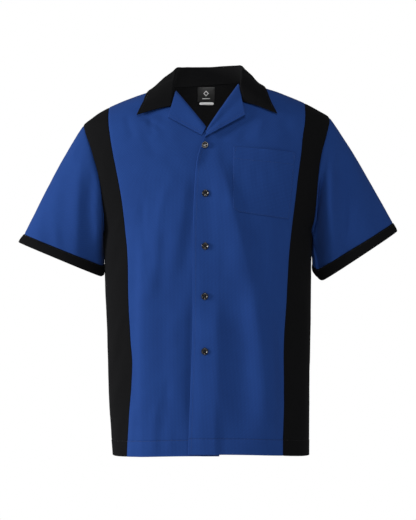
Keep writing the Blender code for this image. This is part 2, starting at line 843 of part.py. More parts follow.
def button_mesh(cutters):
    """One four-hole button, turned with a raised rim, its back at z = 0."""
    r, t = BUTTON_DIAMETER / 2, BUTTON_THICK
    profile = (
        (0, 0.52 * t),
        (0.50 * r, 0.54 * t),
        (0.66 * r, 0.84 * t),
        (0.82 * r, t),
        (0.95 * r, 0.88 * t),
        (r, 0.56 * t),
        (0.93 * r, 0.2 * t),
        (0.76 * r, 0),
        (0, 0),
    )
    bm = bmesh.new()
    verts = [bm.verts.new((x * MM, 0, z * MM)) for x, z in profile]
    for a, b in zip(verts, verts[1:]):
        bm.edges.new((a, b))
    mesh = bpy.data.meshes.new("button_turned")
    bm.to_mesh(mesh)
    bm.free()
    turned = bpy.data.objects.new("button_turned", mesh)
    cutters.objects.link(turned)
    screw = turned.modifiers.new("turned", "SCREW")
    screw.steps = screw.render_steps = BUTTON_STEPS
    screw.use_merge_vertices = True
    screw.merge_threshold = 0.00005
    bm = bmesh.new()
    for k in range(4):
        turn = math.pi / 2 * k + math.pi / 4
        at = Vector((math.cos(turn), math.sin(turn), 0)) * BUTTON_HOLE_CIRCLE / 2 * MM
        bmesh.ops.create_cone(
            bm,
            cap_ends=True,
            segments=10,
            radius1=BUTTON_HOLE / 2 * MM,
            radius2=BUTTON_HOLE / 2 * MM,
            depth=3 * BUTTON_THICK * MM,
            matrix=Matrix.Translation(at),
        )
    drill_mesh = bpy.data.meshes.new("button_holes")
    bm.to_mesh(drill_mesh)
    bm.free()
    drill = bpy.data.objects.new("button_holes", drill_mesh)
    drill.hide_render = True
    drill.display_type = "WIRE"
    cutters.objects.link(drill)
    cut = turned.modifiers.new("holes", "BOOLEAN")
    cut.operation = "DIFFERENCE"
    cut.object = drill
    bpy.context.view_layer.update()
    seen = turned.evaluated_get(bpy.context.evaluated_depsgraph_get())
    made = bpy.data.meshes.new_from_object(seen)
    made.name = "button"
    made.set_sharp_from_angle(angle=math.radians(35))
    bpy.data.objects.remove(turned)
    bpy.data.objects.remove(drill)
    return made


def place_button(name, row, mesh, finish, where):
    """One button on the lapping front, its back just clear of the cloth."""
    collection, parent = where
    made = add_object(name, mesh, finish, collection, parent)
    seat = front_skin(row.x, row.z, 1, 0.5)
    facing = outward(seat)
    made.location = Vector(seat) * MM
    made.rotation_euler = Vector(facing).to_track_quat("Z", "Y").to_euler()
    return made


def build():
    """Build the shirt."""
    for old in list(bpy.data.objects):
        bpy.data.objects.remove(old)
    shirt = bpy.data.collections.new("bowling_shirt")
    cutters = bpy.data.collections.new("cutters")
    for made in (shirt, cutters):
        bpy.context.scene.collection.children.link(made)
    root = bpy.data.objects.new("shirt", None)
    shirt.objects.link(root)
    where = (shirt, root)

    blue = material("blue_shirting", BLUE, 0.75)
    black = material("black_shirting", BLACK, 0.8)
    gloss = material("button_black", GLOSS_BLACK, 0.2)
    white = material("tab_white", WHITE, 0.7)

    for side, word in ((-1, "left"), (1, "right")):
        sheet(f"front_{word}", front_panel(side), CLOTH, outward, blue, where)
        sheet(f"side_front_{word}", side_panel(side), CLOTH, outward, black, where)
        row = LAPELS[0] if side < 0 else LAPELS[1]
        sheet(f"facing_{word}", lapel(row), LAPEL_WALL, outward, blue, where)
        rings = sleeve(side)
        middle = rings.mean(axis=(0, 1))

        def from_arm(p, rings=rings):
            nearest = rings[np.argmin(np.linalg.norm(rings - p, axis=2).min(axis=1))]
            return p - nearest.mean(axis=0)

        sheet(f"sleeve_{word}", rings, CLOTH, from_arm, blue, where, closed=True)
        band = cuff_band(side)
        middle = band.mean(axis=(0, 1))
        sheet(
            f"cuff_{word}", band, CUFF_WALL, lambda p, m=middle: p - m, black, where, closed=True
        )
    sheet("back", back_panel(), CLOTH, outward, black, where)
    folded = collar()
    ridge = folded[:, 3].mean(axis=0)

    def from_fold(p):
        return p - np.array((p[0] * 0.8, p[1] * 0.8, ridge[2] - 30))

    sheet("collar", folded, COLLAR_WALL, from_fold, black, where)
    sheet("pocket", pocket(), POCKET_WALL, outward, blue, where)
    for name, label, finish, columns in (
        ("neck_label", LABEL, black, 4),
        ("size_tab", SIZE_TAB, white, 4),
    ):
        grid = label_grid(label, CLOTH + 2.6 + LABEL_WALL, columns, 2 if name == "neck_label" else 1)
        sheet(name, grid, LABEL_WALL, lambda p: -outward(p), finish, where)
    mesh = button_mesh(cutters)
    for k, row in enumerate(BUTTONS, 1):
        place_button(f"button_{k}", row, mesh, gloss, where)


build()
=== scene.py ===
"""A short-sleeved bowling shirt, filled out as it is worn, ready to look at.

The cloth pieces are thin shells laid over one body surface that is made from
level sections, with folds, seams, hems and stitches added in real sizes.
Sizes are millimetres until a mesh is made, and metres in the mesh. Left and
right are as seen from the front, so right is the wearer's left.
"""

import logging
import math
from dataclasses import dataclass, field
from enum import Enum
from typing import Any, Optional, Sequence

import bmesh
import bpy
import numpy as np
from mathutils import Matrix, Vector


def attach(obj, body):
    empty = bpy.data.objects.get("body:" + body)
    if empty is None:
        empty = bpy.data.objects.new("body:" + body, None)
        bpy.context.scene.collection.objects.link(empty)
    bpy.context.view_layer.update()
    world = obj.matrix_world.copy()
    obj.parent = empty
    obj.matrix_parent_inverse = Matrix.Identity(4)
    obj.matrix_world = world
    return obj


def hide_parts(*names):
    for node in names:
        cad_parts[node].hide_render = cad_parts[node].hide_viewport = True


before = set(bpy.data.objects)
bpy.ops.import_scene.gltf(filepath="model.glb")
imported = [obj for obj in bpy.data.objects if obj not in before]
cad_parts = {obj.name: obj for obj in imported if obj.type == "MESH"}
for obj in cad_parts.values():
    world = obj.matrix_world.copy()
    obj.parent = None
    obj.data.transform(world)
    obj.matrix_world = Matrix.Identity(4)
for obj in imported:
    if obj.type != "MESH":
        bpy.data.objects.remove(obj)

LOG = logging.getLogger("bowling_shirt")
MM = 0.001
BODY_NAME = "root"

Array = np.ndarray
Grid = np.ndarray  # rows x columns x 3, millimetres
Material = bpy.types.Material
Object = bpy.types.Object


class Side(Enum):
    """A side of the shirt as seen from the front."""

    LEFT = -1
    RIGHT = 1

    @property
    def word(self) -> str:
        """The side in lower case, as node names hold it."""
        return self.name.lower()


class Face(Enum):
    """The half of the body that a panel covers."""

    FRONT = 1
    BACK = -1


class Thread(Enum):
    """What a stitch is sewn with."""

    BLUE = "thread_blue"
    # Darker than the blue cloth and used only on the front hems: partly the hem's own thread, partly
    # painted shade along the hem's groove.
    NAVY = "thread_navy"
    BLACK = "thread_black"


class Slot(Enum):
    """The material group that a piece belongs to."""

    BLUE = "blue_shirting"
    BLACK = "black_shirting"
    LABEL = "woven_label"
    TAPE = "white_tape"
    BUTTON = "button"


# ---- sizes


@dataclass(frozen=True)
class Section:
    """A level section of the body: half widths to each side, depths each way."""

    z: float
    left: float
    right: float
    front: float
    back: float


SECTIONS: tuple[Section, ...] = tuple(Section(*row) for row in (
    (30, 22, 40, 40, 52), (14, 48, 75, 52, 66), (4, 75, 100, 59, 72), (-12, 125, 147, 68, 82),
    (-24, 159, 177, 75, 90), (-36, 188, 203, 82, 96), (-48, 211, 225, 87, 101),
    (-60, 229, 243, 92, 105), (-77, 248, 250, 97, 109), (-100, 252, 252, 103, 113),
    (-136, 250, 250, 110, 117), (-183, 240, 245, 115, 120), (-232, 226, 234, 118, 120),
    (-260, 216, 224, 119, 118), (-292, 207, 209, 119.5, 116), (-380, 205, 207, 118, 111),
    (-500, 200, 205.5, 117, 108), (-600, 197.5, 203.5, 118, 108), (-740, 188.5, 203, 121, 110),
))


@dataclass(frozen=True)
class NeckHeight:
    """Height of the neckline at an angle round the neck, -90 at the back."""

    angle: float
    left: float
    right: float


NECKLINE: tuple[NeckHeight, ...] = tuple(NeckHeight(*row) for row in (
    (-90, 12, 12), (-70, 10, 13), (-45, 6, 14.5), (-20, 4.3, 14.3), (0, 4, 14), (30, 2.5, 12),
    (50, -3, 6.5), (70, -18, -5),
))


@dataclass(frozen=True)
class PrincessRow:
    """Distance of the princess seam from the middle at a height."""

    z: float
    left: float
    right: float


PRINCESS: tuple[PrincessRow, ...] = tuple(PrincessRow(*row) for row in (
    (-30, 196, 193), (-70, 194.5, 191.5), (-100, 191, 187), (-140, 184, 182.5), (-180, 176, 177),
    (-230, 167, 171), (-280, 161.5, 165), (-340, 156, 159), (-420, 154.5, 154.5), (-500, 150, 149.5),
    (-545, 146.5, 148.7), (-590, 148.4, 148.7), (-640, 152.5, 148.7), (-740, 158, 148.7),
))


@dataclass(frozen=True)
class EdgePoint:
    """A place on a front edge."""

    z: float
    x: float


NECK_FOOT = EdgePoint(-96, 0)
OVER_EDGE: tuple[EdgePoint, ...] = (
    NECK_FOOT,
    EdgePoint(-106, -4.5),
    EdgePoint(-122, -12),
    EdgePoint(-151, -20.5),
    EdgePoint(-200, -25),
    EdgePoint(-305, -28.5),
    EdgePoint(-460, -29),
    EdgePoint(-576, -32.5),
    EdgePoint(-690, -36.5),
    EdgePoint(-724, -37.5),
)
UNDER_EDGE: tuple[EdgePoint, ...] = (
    NECK_FOOT,
    EdgePoint(-108, 9),
    EdgePoint(-128, 17.5),
    EdgePoint(-155, 21),
    EdgePoint(-300, 22),
    EdgePoint(-724, 22.5),
)


@dataclass(frozen=True)
class Fold:
    """A soft ridge, or a trough where height is negative, between two places.

    bow moves its middle sideways, and lean makes one flank steeper.
    """

    x1: float
    z1: float
    x2: float
    z2: float
    width: float
    height: float
    bow: float = 0.0
    lean: float = 0.0


# The folds of each panel. A front's folds run on over its side panel.
FOLDS: dict[str, tuple[Fold, ...]] = {piece: tuple(Fold(*row) for row in rows) for piece, rows in {
    "front_left": (
        (-124, -230, -122, -860, 22, 7, 3, -0.4), (-34, -160, -84, -410, 17, 3, -4, 0.15),
        (-92, -280, -116, -440, 12, 2.6, -3, 0.1), (-76, -180, -106, -350, 10, 2, 3),
        (-126, -215, -120, -340, 8, -1.8, 2), (-22, -150, -40, -400, 12, -2.2, 3),
        (-29, -380, -30, -720, 12, -3.4, 2), (-62, -430, -58, -640, 14, 1.2, 3, 0.2),
        (-140, -600, -146, -760, 9, 3, 2), (-84, -600, -66, -740, 10, 1.3, 3),
        (-96, -600, -104, -740, 8, 1.6, 2), (-74, -560, -82, -700, 8, -1.6, 2),
        (-136, -64, -70, -60, 9, -3, 2), (-122, -66, -84, -92, 6, -2.2, 0),
        (-160, -54, -141, -116, 9, -2.2, 2), (-114, -66, -104, -106, 6, -1.6, 2),
        (-128, -72, -92, -150, 10, -1.4, 5), (-104, -66, -66, -150, 9, 1.2, 4),
        (-96, -70, -48, -190, 13, -1.5, 7), (-60, -130, -78, -330, 18, 1.2, 6),
        (-8, -420, -12, -760, 12, 1.2, 2), (-166, -248, -198, -362, 8, 2.2, 4),
        (-160, -300, -200, -420, 9, -2, 4), (-162, -440, -188, -556, 8, 2.6, 4),
        (-160, -500, -198, -610, 8, -2.2, 4), (-161, -566, -196, -656, 8, 2.6, 4),
        (-164, -640, -186, -720, 8, 2, 3), (-200, -110, -202, -270, 14, 1.3, 3),
    ),
    "front_right": (
        (2, -84, -24, -176, 8, 4.2, 4, 0.2), (96, -52, 6, -122, 9, -2.6, 0),
        (12, -120, 90, -420, 21, 7.4, -4, 0.4), (78, -350, 116, -720, 30, 13, -8, -0.15),
        (14, -400, 22, -700, 32, 9, 2, 0.1), (-14, -300, -12, -880, 13, 1.6, 2),
        (12, -600, 18, -860, 20, 3, 0, 0.6), (140, -400, 146, -880, 12, -4.5, 0),
        (2, -170, 8, -330, 12, -1.2, 3), (34, -136, 48, -260, 9, 1.6, -4),
        (124, -260, 128, -430, 12, 1.4, 4), (92, -60, 64, -122, 10, -1.4, 3),
        (112, -62, 96, -116, 8, 1, 3), (150, -60, 172, -128, 13, -1.4, 3),
        (184, -400, 176, -720, 13, -2, 3), (200, -310, 172, -450, 9, 1.8, 3),
        (196, -560, 184, -790, 11, 2, 2), (200, -110, 202, -270, 14, 1.2, -3),
    ),
    "back": (
        (-118, -130, -92, -420, 28, 3.2, 8), (112, -150, 88, -460, 26, 2.8, -8),
        (-62, -330, -72, -790, 21, 3.8, 6, 0.2), (50, -400, 66, -790, 23, 3.4, -5),
        (-8, -470, -2, -790, 17, -3, 4), (134, -520, 142, -790, 17, -2.8, 4),
        (-136, -460, -142, -790, 16, -2.4, -4), (-30, -140, -24, -420, 22, -1.7, 5),
        (24, -560, 30, -790, 12, 2, 2), (104, -560, 98, -790, 13, 2.2, -3),
        (-104, -600, -100, -790, 12, -1.6, 2), (190, -300, 140, -420, 11, 1.7, 5),
        (-190, -310, -136, -440, 11, 1.8, -5), (178, -300, 120, -470, 10, -1.4, 6),
        (-60, 5, -120, -70, 14, 1, 4), (60, 5, 130, -70, 14, 1, -4),
    ),
    "sleeve_left": (
        (-226, -150, -230, -392, 13, -4, 4), (-248, -120, -256, -410, 15, 3.8, 5, 0.3),
        (-214, -250, -212, -380, 8, 2, 2), (-304, -100, -358, -360, 40, 13, 4),
        (-284, -150, -304, -330, 16, 1.4, 6), (-262, -92, -284, -150, 6, -1.8, 3),
        (-250, -86, -270, -164, 6, 1.6, 3), (-272, -102, -306, -166, 6, 1.6, 2),
        (-320, -240, -306, -350, 12, -1.8, 5), (-300, -270, -286, -356, 9, 1.6, 3),
    ),
    "sleeve_right": (
        (214, -120, 219, -430, 14, -30, 2), (243, -96, 249, -410, 10, 4, 3),
        (266, -80, 274, -360, 13, -6, 4), (292, -110, 330, -330, 17, 3.4, 6),
        (336, -210, 352, -310, 11, -1.8, 3), (262, -82, 286, -136, 6, -1.6, 3),
        (276, -92, 306, -150, 6, 1.2, 3),
    ),
    "sleeve_left_back": (
        (-232, -170, -246, -372, 15, -5, 4), (-262, -120, -306, -346, 20, 3, -6),
        (-300, -190, -320, -340, 13, -2, 4),
    ),
    "sleeve_right_back": (
        (228, -160, 240, -392, 15, -5.4, 4), (264, -110, 306, -340, 19, 3, 6),
        (302, -180, 322, -320, 13, -2, -4),
    ),
}.items()}


@dataclass(frozen=True)
class LapelCut:
    """The corners of a turned-out lapel: roll line, tip and foot of its free edge."""

    side: Side
    top: tuple[float, float]
    foot: tuple[float, float]
    tip: tuple[float, float]
    end: tuple[float, float]
    edge_lift: float


LAPELS: tuple[LapelCut, LapelCut] = (
    LapelCut(Side.LEFT, (-61, -18), (-4, -88.5), (-76, -66), (-11, -101.5), 3.6),
    LapelCut(Side.RIGHT, (60, -4), (-1.5, -93), (72.5, -63.5), (-4.0, -106.0), 7.4),
)


@dataclass(frozen=True)
class CollarStation:
    """The collar at a place round the neck: its roll line and its free edge."""

    angle: float
    sewn: float
    roll: float
    roll_at: tuple[float, float, float]
    edge_at: tuple[float, float, float]


COLLAR: tuple[CollarStation, ...] = tuple(CollarStation(*row) for row in (
    (90, 0.5, 1.8, (-72, -85, -44), (-137.5, -89, -60)),
    (69, 0.06, 2.4, (-68, -73, -14), (-128.5, -75, -38)),
    (40, 0, 3.4, (-66, -38, 15), (-118.5, -41, -15)),
    (5, 0, 4.0, (-65, 0, 36), (-110, 2, -3)),
    (-28, 0, 4.2, (-60, 34, 45.5), (-95, 50, -8)),
    (-60, 0, 4.2, (-36, 64, 49), (-56, 88, -12)),
    (-90, 0, 4.2, (3, 76, 51), (0, 101, -14)),
    (-120, 0, 4.2, (42, 64, 52), (58, 88, -10)),
    (-152, 0, 4.2, (66, 34, 49.5), (94, 50, -4)),
    (-185, 0, 4.0, (71, 0, 40), (106, 2, 2)),
    (-220, 0, 3.4, (67, -38, 22), (114, -41, -10)),
    (-246, 0.06, 2.4, (65, -71, -2), (125, -73, -34)),
    (-270, 0.5, 1.8, (72, -83, -35), (135.5, -87, -57)),
))


@dataclass(frozen=True)
class CuffEnd:
    """A sleeve end seen from the front: its outer and inner corner, and its depth.

    tuck is how far its inner back part is pushed, against the body's side.
    """

    outer: tuple[float, float]
    inner: tuple[float, float]
    depth: float
    tuck: tuple[float, float]
    middle_y: float = -3.0


SLEEVE_END: dict[Side, CuffEnd] = {
    Side.LEFT: CuffEnd((-365.5, -292), (-209.5, -355.5), 44, (5.0, 3.0)),
    Side.RIGHT: CuffEnd((370, -270), (218.5, -364), 45, (-11.5, 11.0)),
}
CUFF_END: dict[Side, CuffEnd] = {
    Side.LEFT: CuffEnd((-377, -308), (-211, -377), 46, (6.5, 4.0)),
    Side.RIGHT: CuffEnd((378.5, -286.5), (226.5, -386.5), 47, (-19.5, 20.0)),
}


@dataclass(frozen=True)
class ButtonPlace:
    """Where a button sits on the lapping front, and how it is turned."""

    x: float
    z: float
    turn: float


BUTTONS: tuple[ButtonPlace, ...] = (
    ButtonPlace(-4.8, -122, 0.3),
    ButtonPlace(-3.8, -215, 0.9),
    ButtonPlace(-4.4, -317, 0.1),
    ButtonPlace(-5.2, -414, 0.6),
    ButtonPlace(-5.2, -520, 1.1),
)


# ---- numbers


class SmoothTable:
    """A table read with smooth curves that never overshoot its values."""

    def __init__(self, at: Sequence[float], values: Sequence[float]) -> None:
        """Find the slopes between the rows.

        Args:
            at: the place of each row, rising or falling.
            values: the value of each row.
        """
        order = np.argsort(np.asarray(at, float))
        self.at = np.asarray(at, float)[order]
        self.values = np.asarray(values, float)[order]
        step = np.diff(self.at)
        slope = np.diff(self.values) / step
        tangent = np.zeros(len(self.at))
        tangent[0], tangent[-1] = slope[0], slope[-1]
        for k in range(1, len(self.at) - 1):
            before, after = slope[k - 1], slope[k]
            if before * after > 0:
                w1, w2 = 2 * step[k] + step[k - 1], step[k] + 2 * step[k - 1]
                tangent[k] = (w1 + w2) / (w1 / before + w2 / after)
        self.step, self.tangent = step, tangent

    def __call__(self, place: Any) -> Array:
        """The value at a place, or at each of several.

        Args:
            place: a place, or several.

        Returns:
            The values there.
        """
        at = np.clip(np.asarray(place, float), self.at[0], self.at[-1])
        i = np.clip(np.searchsorted(self.at, at, side="right") - 1, 0, len(self.at) - 2)
        h = self.step[i]
        t = (at - self.at[i]) / h
        return (
            self.values[i] * (1 + 2 * t) * (1 - t) ** 2
            + h * self.tangent[i] * t * (1 - t) ** 2
            + self.values[i + 1] * t * t * (3 - 2 * t)
            + h * self.tangent[i + 1] * t * t * (t - 1)
        )


def ease(t: Any) -> Array:
    """A soft step from 0 to 1."""
    t = np.clip(np.asarray(t, float), 0, 1)
    return t * t * (3 - 2 * t)


def bump(distance: Any, width: float) -> Array:
    """A soft hump of height 1 at distance 0."""
    return np.exp(-((np.asarray(distance, float) / width) ** 2))


def paired(first: Array, second: Array) -> Array:
    """Two rows of values as one row of pairs."""
    return np.stack([first, second], axis=-1)


def read_along(at: Array, run: Array, values: Array) -> Array:
    """Rows of values, read at places between the distances of a run."""
    return np.stack([np.interp(at, run, column) for column in values.T], axis=-1)


def unit(vectors: Array) -> Array:
    """The vectors, each one long."""
    return vectors / np.maximum(np.linalg.norm(vectors, axis=-1, keepdims=True), 1e-9)


def stations(length: float, step: float, marks: Sequence[float] = ()) -> Array:
    """Even places along a length, closer together at its ends and at marks.

    Args:
        length: the whole length, in mm.
        step: the even spacing, in mm.
        marks: distances that get close places round them, such as a stitch line.

    Returns:
        Shares of the length, from 0 to 1.
    """
    close = (0.0, 0.45, 1.0, 1.8, 2.9)
    places = list(np.linspace(0, length, max(int(round(length / step)), 2) + 1))
    kept = [0.0, length]
    for mark in (0.0, length, *marks):
        for off in close:
            kept += [mark - off, mark + off]
    kept = [p for p in kept if -1e-6 <= p <= length + 1e-6]
    places = [p for p in places if min(abs(p - k) for k in kept) > 0.4 * step]
    found: list[float] = []
    for p in sorted(kept + places):
        if not found or p - found[-1] > 0.3:
            found.append(p)
    found[-1] = length
    return np.array(found) / length


def along(grid: Grid, axis: int) -> Array:
    """How far each point is along its row or column of a grid, in mm.

    Args:
        grid: rows of points, in mm.
        axis: 0 down the columns, 1 along the rows.

    Returns:
        The distances, 0 at the start.
    """
    run = np.linalg.norm(np.diff(grid, axis=axis), axis=-1)
    start = np.zeros_like(np.take(run, [0], axis=axis))
    return np.concatenate([start, np.cumsum(run, axis=axis)], axis=axis)


@dataclass(frozen=True)
class Ripple:
    """The faint unevenness of cloth: a few crossing waves with fixed phases."""

    seed: int
    length: float
    waves: int = 9

    def at(self, u: Array, v: Array) -> Array:
        """Height from -1 to 1 at places u, v in mm.

        Args:
            u: places across.
            v: places down.

        Returns:
            The heights.
        """
        pick = np.random.default_rng(self.seed)
        total = np.zeros(np.broadcast(u, v).shape)
        for _ in range(self.waves):
            turn, phase = pick.uniform(0, math.pi), pick.uniform(0, 2 * math.pi)
            size = self.length * pick.uniform(0.6, 1.7)
            run = (u * math.cos(turn) * 1.4 + v * math.sin(turn) * 0.8) / size
            total += np.sin(2 * math.pi * run + phase)
        return total / self.waves * 1.6


# ---- the body surface


class BodyForm:
    """The surface that the shirt is laid over."""

    power: float = 2.4
    seam_angle: float = 0.045

    def __init__(self, sections: Sequence[Section] = SECTIONS) -> None:
        """Read the tables.

        Args:
            sections: the level sections, from the top down.
        """
        z = [s.z for s in sections]
        self.left, self.right, self.front, self.back = (
            SmoothTable(z, [getattr(s, way) for s in sections])
            for way in ("left", "right", "front", "back")
        )
        angles = [n.angle for n in NECKLINE]
        self.neck = {s: SmoothTable(angles, [getattr(n, s.word) for n in NECKLINE]) for s in Side}

    def half_width(self, x: Array, z: Array) -> Array:
        """Half width of the section at z, on the side of x."""
        return np.where(np.asarray(x) < 0, self.left(z), self.right(z))

    def half_depth(self, y: Array, z: Array) -> Array:
        """Depth of the section at z, on the side of y."""
        return np.where(np.asarray(y) < 0, self.front(z), self.back(z))

    def point(self, face: Face, path: Array) -> Array:
        """Points of the body at (wrap, z) places; wrap is -1 and 1 at the sides.

        Args:
            face: front or back.
            path: the places.

        Returns:
            The points, in mm.
        """
        wrap, z = path[..., 0], path[..., 1]
        angle = (1 - np.abs(wrap)) * math.pi / 2 * face.value
        share = 2 / self.power
        x = np.sign(wrap) * self.half_width(wrap, z) * np.abs(np.cos(angle)) ** share
        y = -np.sign(angle) * self.half_depth(-angle, z) * np.abs(np.sin(angle)) ** share
        return np.stack([x, y, z], axis=-1)

    def wrap_of_x(self, x: Array, z: Array) -> Array:
        """The wrap at which the section at z reaches x."""
        share = np.clip(np.abs(x) / self.half_width(x, z), 0, 1) ** (self.power / 2)
        return np.sign(x) * 2 / math.pi * np.arcsin(share)

    def fullness(self, points: Array) -> Array:
        """Below 0 inside the body, 0 on it and above 0 outside."""
        x, y, z = points[..., 0], points[..., 1], points[..., 2]
        return (
            (np.abs(x) / self.half_width(x, z)) ** self.power
            + (np.abs(y) / self.half_depth(y, z)) ** self.power
            - 1
        )

    def slope(self, points: Array) -> Array:
        """How fullness grows along X, Y and Z.

        Args:
            points: places near the body.

        Returns:
            The three slopes of each.
        """
        parts = []
        for axis in range(3):
            move = np.zeros(3)
            move[axis] = 0.25
            parts.append((self.fullness(points + move) - self.fullness(points - move)) * 2)
        return np.stack(parts, axis=-1)

    def outward(self, points: Array) -> Array:
        """Unit normals of the body."""
        return unit(self.slope(points))

    def cleared(self, points: Array, clearance: Any) -> Array:
        """The points, moved straight out where they are too near the body.

        Args:
            points: places near the body.
            clearance: the least distance, in mm.

        Returns:
            The moved points.
        """
        points = np.array(points, float)
        for _ in range(10):
            grown = self.slope(points)
            size = np.maximum(np.linalg.norm(grown, axis=-1), 1e-6)
            short = np.clip(clearance - self.fullness(points) / size, 0, 3)
            short = np.where(points[..., 2] > 28, 0, short)
            points += grown / size[..., None] * short[..., None]
        return points

    def evened(self, face: Face, path: Array, shares: Array) -> Array:
        """Places of a (wrap, z) path at shares of its length on the body."""
        run = along(self.point(face, path), 0)
        at = np.asarray(shares) * run[-1]
        return read_along(at, run, path)


FORM = BodyForm()


def fold_height(piece: str, x: Array, z: Array) -> Array:
    """Height of a piece's folds at places seen from the front.

    Args:
        piece: the piece whose folds are wanted.
        x: places across, in mm.
        z: heights, in mm.

    Returns:
        Heights in mm, negative in troughs.
    """
    total = np.zeros(np.broadcast(x, z).shape)
    for fold in FOLDS[piece.replace("side_", "")]:
        run = np.array((fold.x2 - fold.x1, fold.z2 - fold.z1), float)
        long = float(np.linalg.norm(run))
        run /= long
        off_x, off_z = x - fold.x1, z - fold.z1
        place = np.clip((off_x * run[0] + off_z * run[1]) / long, 0, 1)
        across = off_x * run[1] - off_z * run[0] - fold.bow * np.sin(math.pi * place)
        wide = fold.width * (0.75 + 0.5 * place) * (1 + fold.lean * np.sign(across))
        taper = ease(place / 0.3) * ease((1 - place) / 0.3)
        total += fold.height * taper * bump(across, wide)
    return total


def between(
    face: Face, top: Array, foot: Array, left: Array, right: Array, across: Array, down: Array
) -> Array:
    """The (wrap, z) places of a panel between its four seams.

    Args:
        face: the half of the body that it covers.
        top: its upper seam from left to right, at any places.
        foot: its hem, in the same way.
        left: its left seam, at the shares that down holds.
        right: its right seam, in the same way.
        across: shares of its width.
        down: shares of its length.

    Returns:
        A grid of places, a row for each share of down.
    """
    top, foot = FORM.evened(face, top, across), FORM.evened(face, foot, across)
    top[0], top[-1], foot[0], foot[-1] = left[0], right[0], left[-1], right[-1]
    u, v = across[None, :, None], down[:, None, None]
    corners = (1 - u) * (1 - v) * top[0] + u * (1 - v) * top[-1]
    corners = corners + (1 - u) * v * foot[0] + u * v * foot[-1]
    ends = (1 - v) * top[None] + v * foot[None]
    sides = (1 - u) * left[:, None] + u * right[:, None]
    return ends + sides - corners


# ---- the cut lines


class Cut:
    """The seam lines of the shirt on the body, as (wrap, z) paths."""

    shoulder_point = {Side.LEFT: -77.0, Side.RIGHT: -61.0}
    underarm = {Side.LEFT: -292.0, Side.RIGHT: -296.0}
    princess_top = {Side.LEFT: -39.0, Side.RIGHT: -32.0}
    roll_top = {Side.LEFT: EdgePoint(-18, -61), Side.RIGHT: EdgePoint(-4, 60)}
    hem_side = -731.0
    hem_front = {Side.LEFT: -722.5, Side.RIGHT: -719.5}
    hem_back = -733.0
    chest = -160.0
    armhole_reach = 0.50

    def hem_height(self, wrap: Array, face: Face, side: Optional[Side] = None) -> Array:
        """Height of the hem round the body.

        Args:
            wrap: places round it.
            face: front or back.
            side: the front, if it is one.

        Returns:
            The heights.
        """
        middle = self.hem_back if face is Face.BACK else self.hem_front[side]
        return middle + (self.hem_side - middle) * ease(np.abs(wrap))

    def seam_wrap(self, side: Side, face: Face) -> float:
        """Where the shoulder seam lies, just in front of the ridge."""
        return side.value * (1 - face.value * FORM.seam_angle / (math.pi / 2))

    def shoulder(self, side: Side, face: Face, high: float, low: float) -> Array:
        """The shoulder seam between two heights."""
        z = np.linspace(high, low, 80)
        return paired(np.full_like(z, self.seam_wrap(side, face)), z)

    def princess(self, side: Side) -> tuple[Array, Array]:
        """The princess seam, above and below the chest.

        Args:
            side: left or right.

        Returns:
            The two paths, from the top down.
        """
        rows = SmoothTable([p.z for p in PRINCESS], [getattr(p, side.word) for p in PRINCESS])
        top = self.princess_top[side]

        def path(z: Array) -> Array:
            """Places of the seam at heights z."""
            wrap = np.abs(FORM.wrap_of_x(side.value * rows(z), z))
            wrap = np.minimum(wrap, abs(self.seam_wrap(side, Face.FRONT)))
            wrap[z >= top] = abs(self.seam_wrap(side, Face.FRONT))
            return paired(side.value * wrap, z)

        foot = float(self.hem_height(np.array(0.43), Face.FRONT, side))
        upper = top + (self.chest - top) * np.linspace(0, 1, 400) ** 2
        return path(upper), path(np.linspace(self.chest, foot, 300))

    def front_edge(self, side: Side) -> tuple[Array, Array, Array]:
        """Neckline, roll line and front edge of one front.

        Args:
            side: left or right.

        Returns:
            The three paths, from the shoulder down.
        """
        top = self.roll_top[side]
        wrap = abs(float(FORM.wrap_of_x(np.array(float(top.x)), np.array(float(top.z)))))
        end = (1 - wrap) * math.pi / 2
        angle = np.linspace(FORM.seam_angle, end, 120)
        share = (angle - FORM.seam_angle) / (end - FORM.seam_angle)
        neck = FORM.neck[side]
        z = neck(np.degrees(angle)) + (top.z - float(neck(math.degrees(end)))) * share**2
        first = paired(side.value * (1 - angle / (math.pi / 2)), z)
        t = np.linspace(0, 1, 100)
        x, z = top.x + (NECK_FOOT.x - top.x) * t, top.z + (NECK_FOOT.z - top.z) * t
        roll = paired(FORM.wrap_of_x(x, z), z)
        rows = UNDER_EDGE if side is Side.LEFT else OVER_EDGE
        edge = SmoothTable([e.z for e in rows], [e.x for e in rows])
        z = np.linspace(NECK_FOOT.z, self.hem_front[side], 300)
        fall = paired(FORM.wrap_of_x(edge(z), z), z)
        return first, roll, fall

    def armhole(self, side: Side, face: Face, count: int = 240) -> Array:
        """The armhole from the shoulder seam to the underarm.

        Args:
            side: left or right.
            face: front or back.
            count: how many places.

        Returns:
            The path.
        """
        u = np.linspace(0, 1, count)
        top, foot = self.shoulder_point[side], self.underarm[side]
        angle = FORM.seam_angle * (1 - u) * face.value + self.armhole_reach * np.sin(math.pi * u)
        z = (top + foot) / 2 + (top - foot) / 2 * np.cos(math.pi * u)
        return paired(side.value * (1 - angle / (math.pi / 2)), z)

    def side_seam(self, side: Side) -> Array:
        """The side seam from the underarm to the hem."""
        z = np.linspace(self.underarm[side], self.hem_side, 200)
        return paired(np.full_like(z, float(side.value)), z)

    def hem(self, face: Face, start: float, end: float, side: Optional[Side] = None) -> Array:
        """The hem between two wraps."""
        wrap = np.linspace(start, end, 120)
        return paired(wrap, self.hem_height(wrap, face, side))


CUT = Cut()


# ---- finishes


def linear(colour: str) -> tuple[float, float, float, float]:
    """A hex sRGB colour as linear values.

    Args:
        colour: six hex digits, such as "20406a".

    Returns:
        Red, green, blue and an alpha of 1.
    """
    parts = [int(colour[k : k + 2], 16) / 255 for k in (0, 2, 4)]
    r, g, b = (p / 12.92 if p <= 0.04045 else ((p + 0.055) / 1.055) ** 2.4 for p in parts)
    return (r, g, b, 1.0)


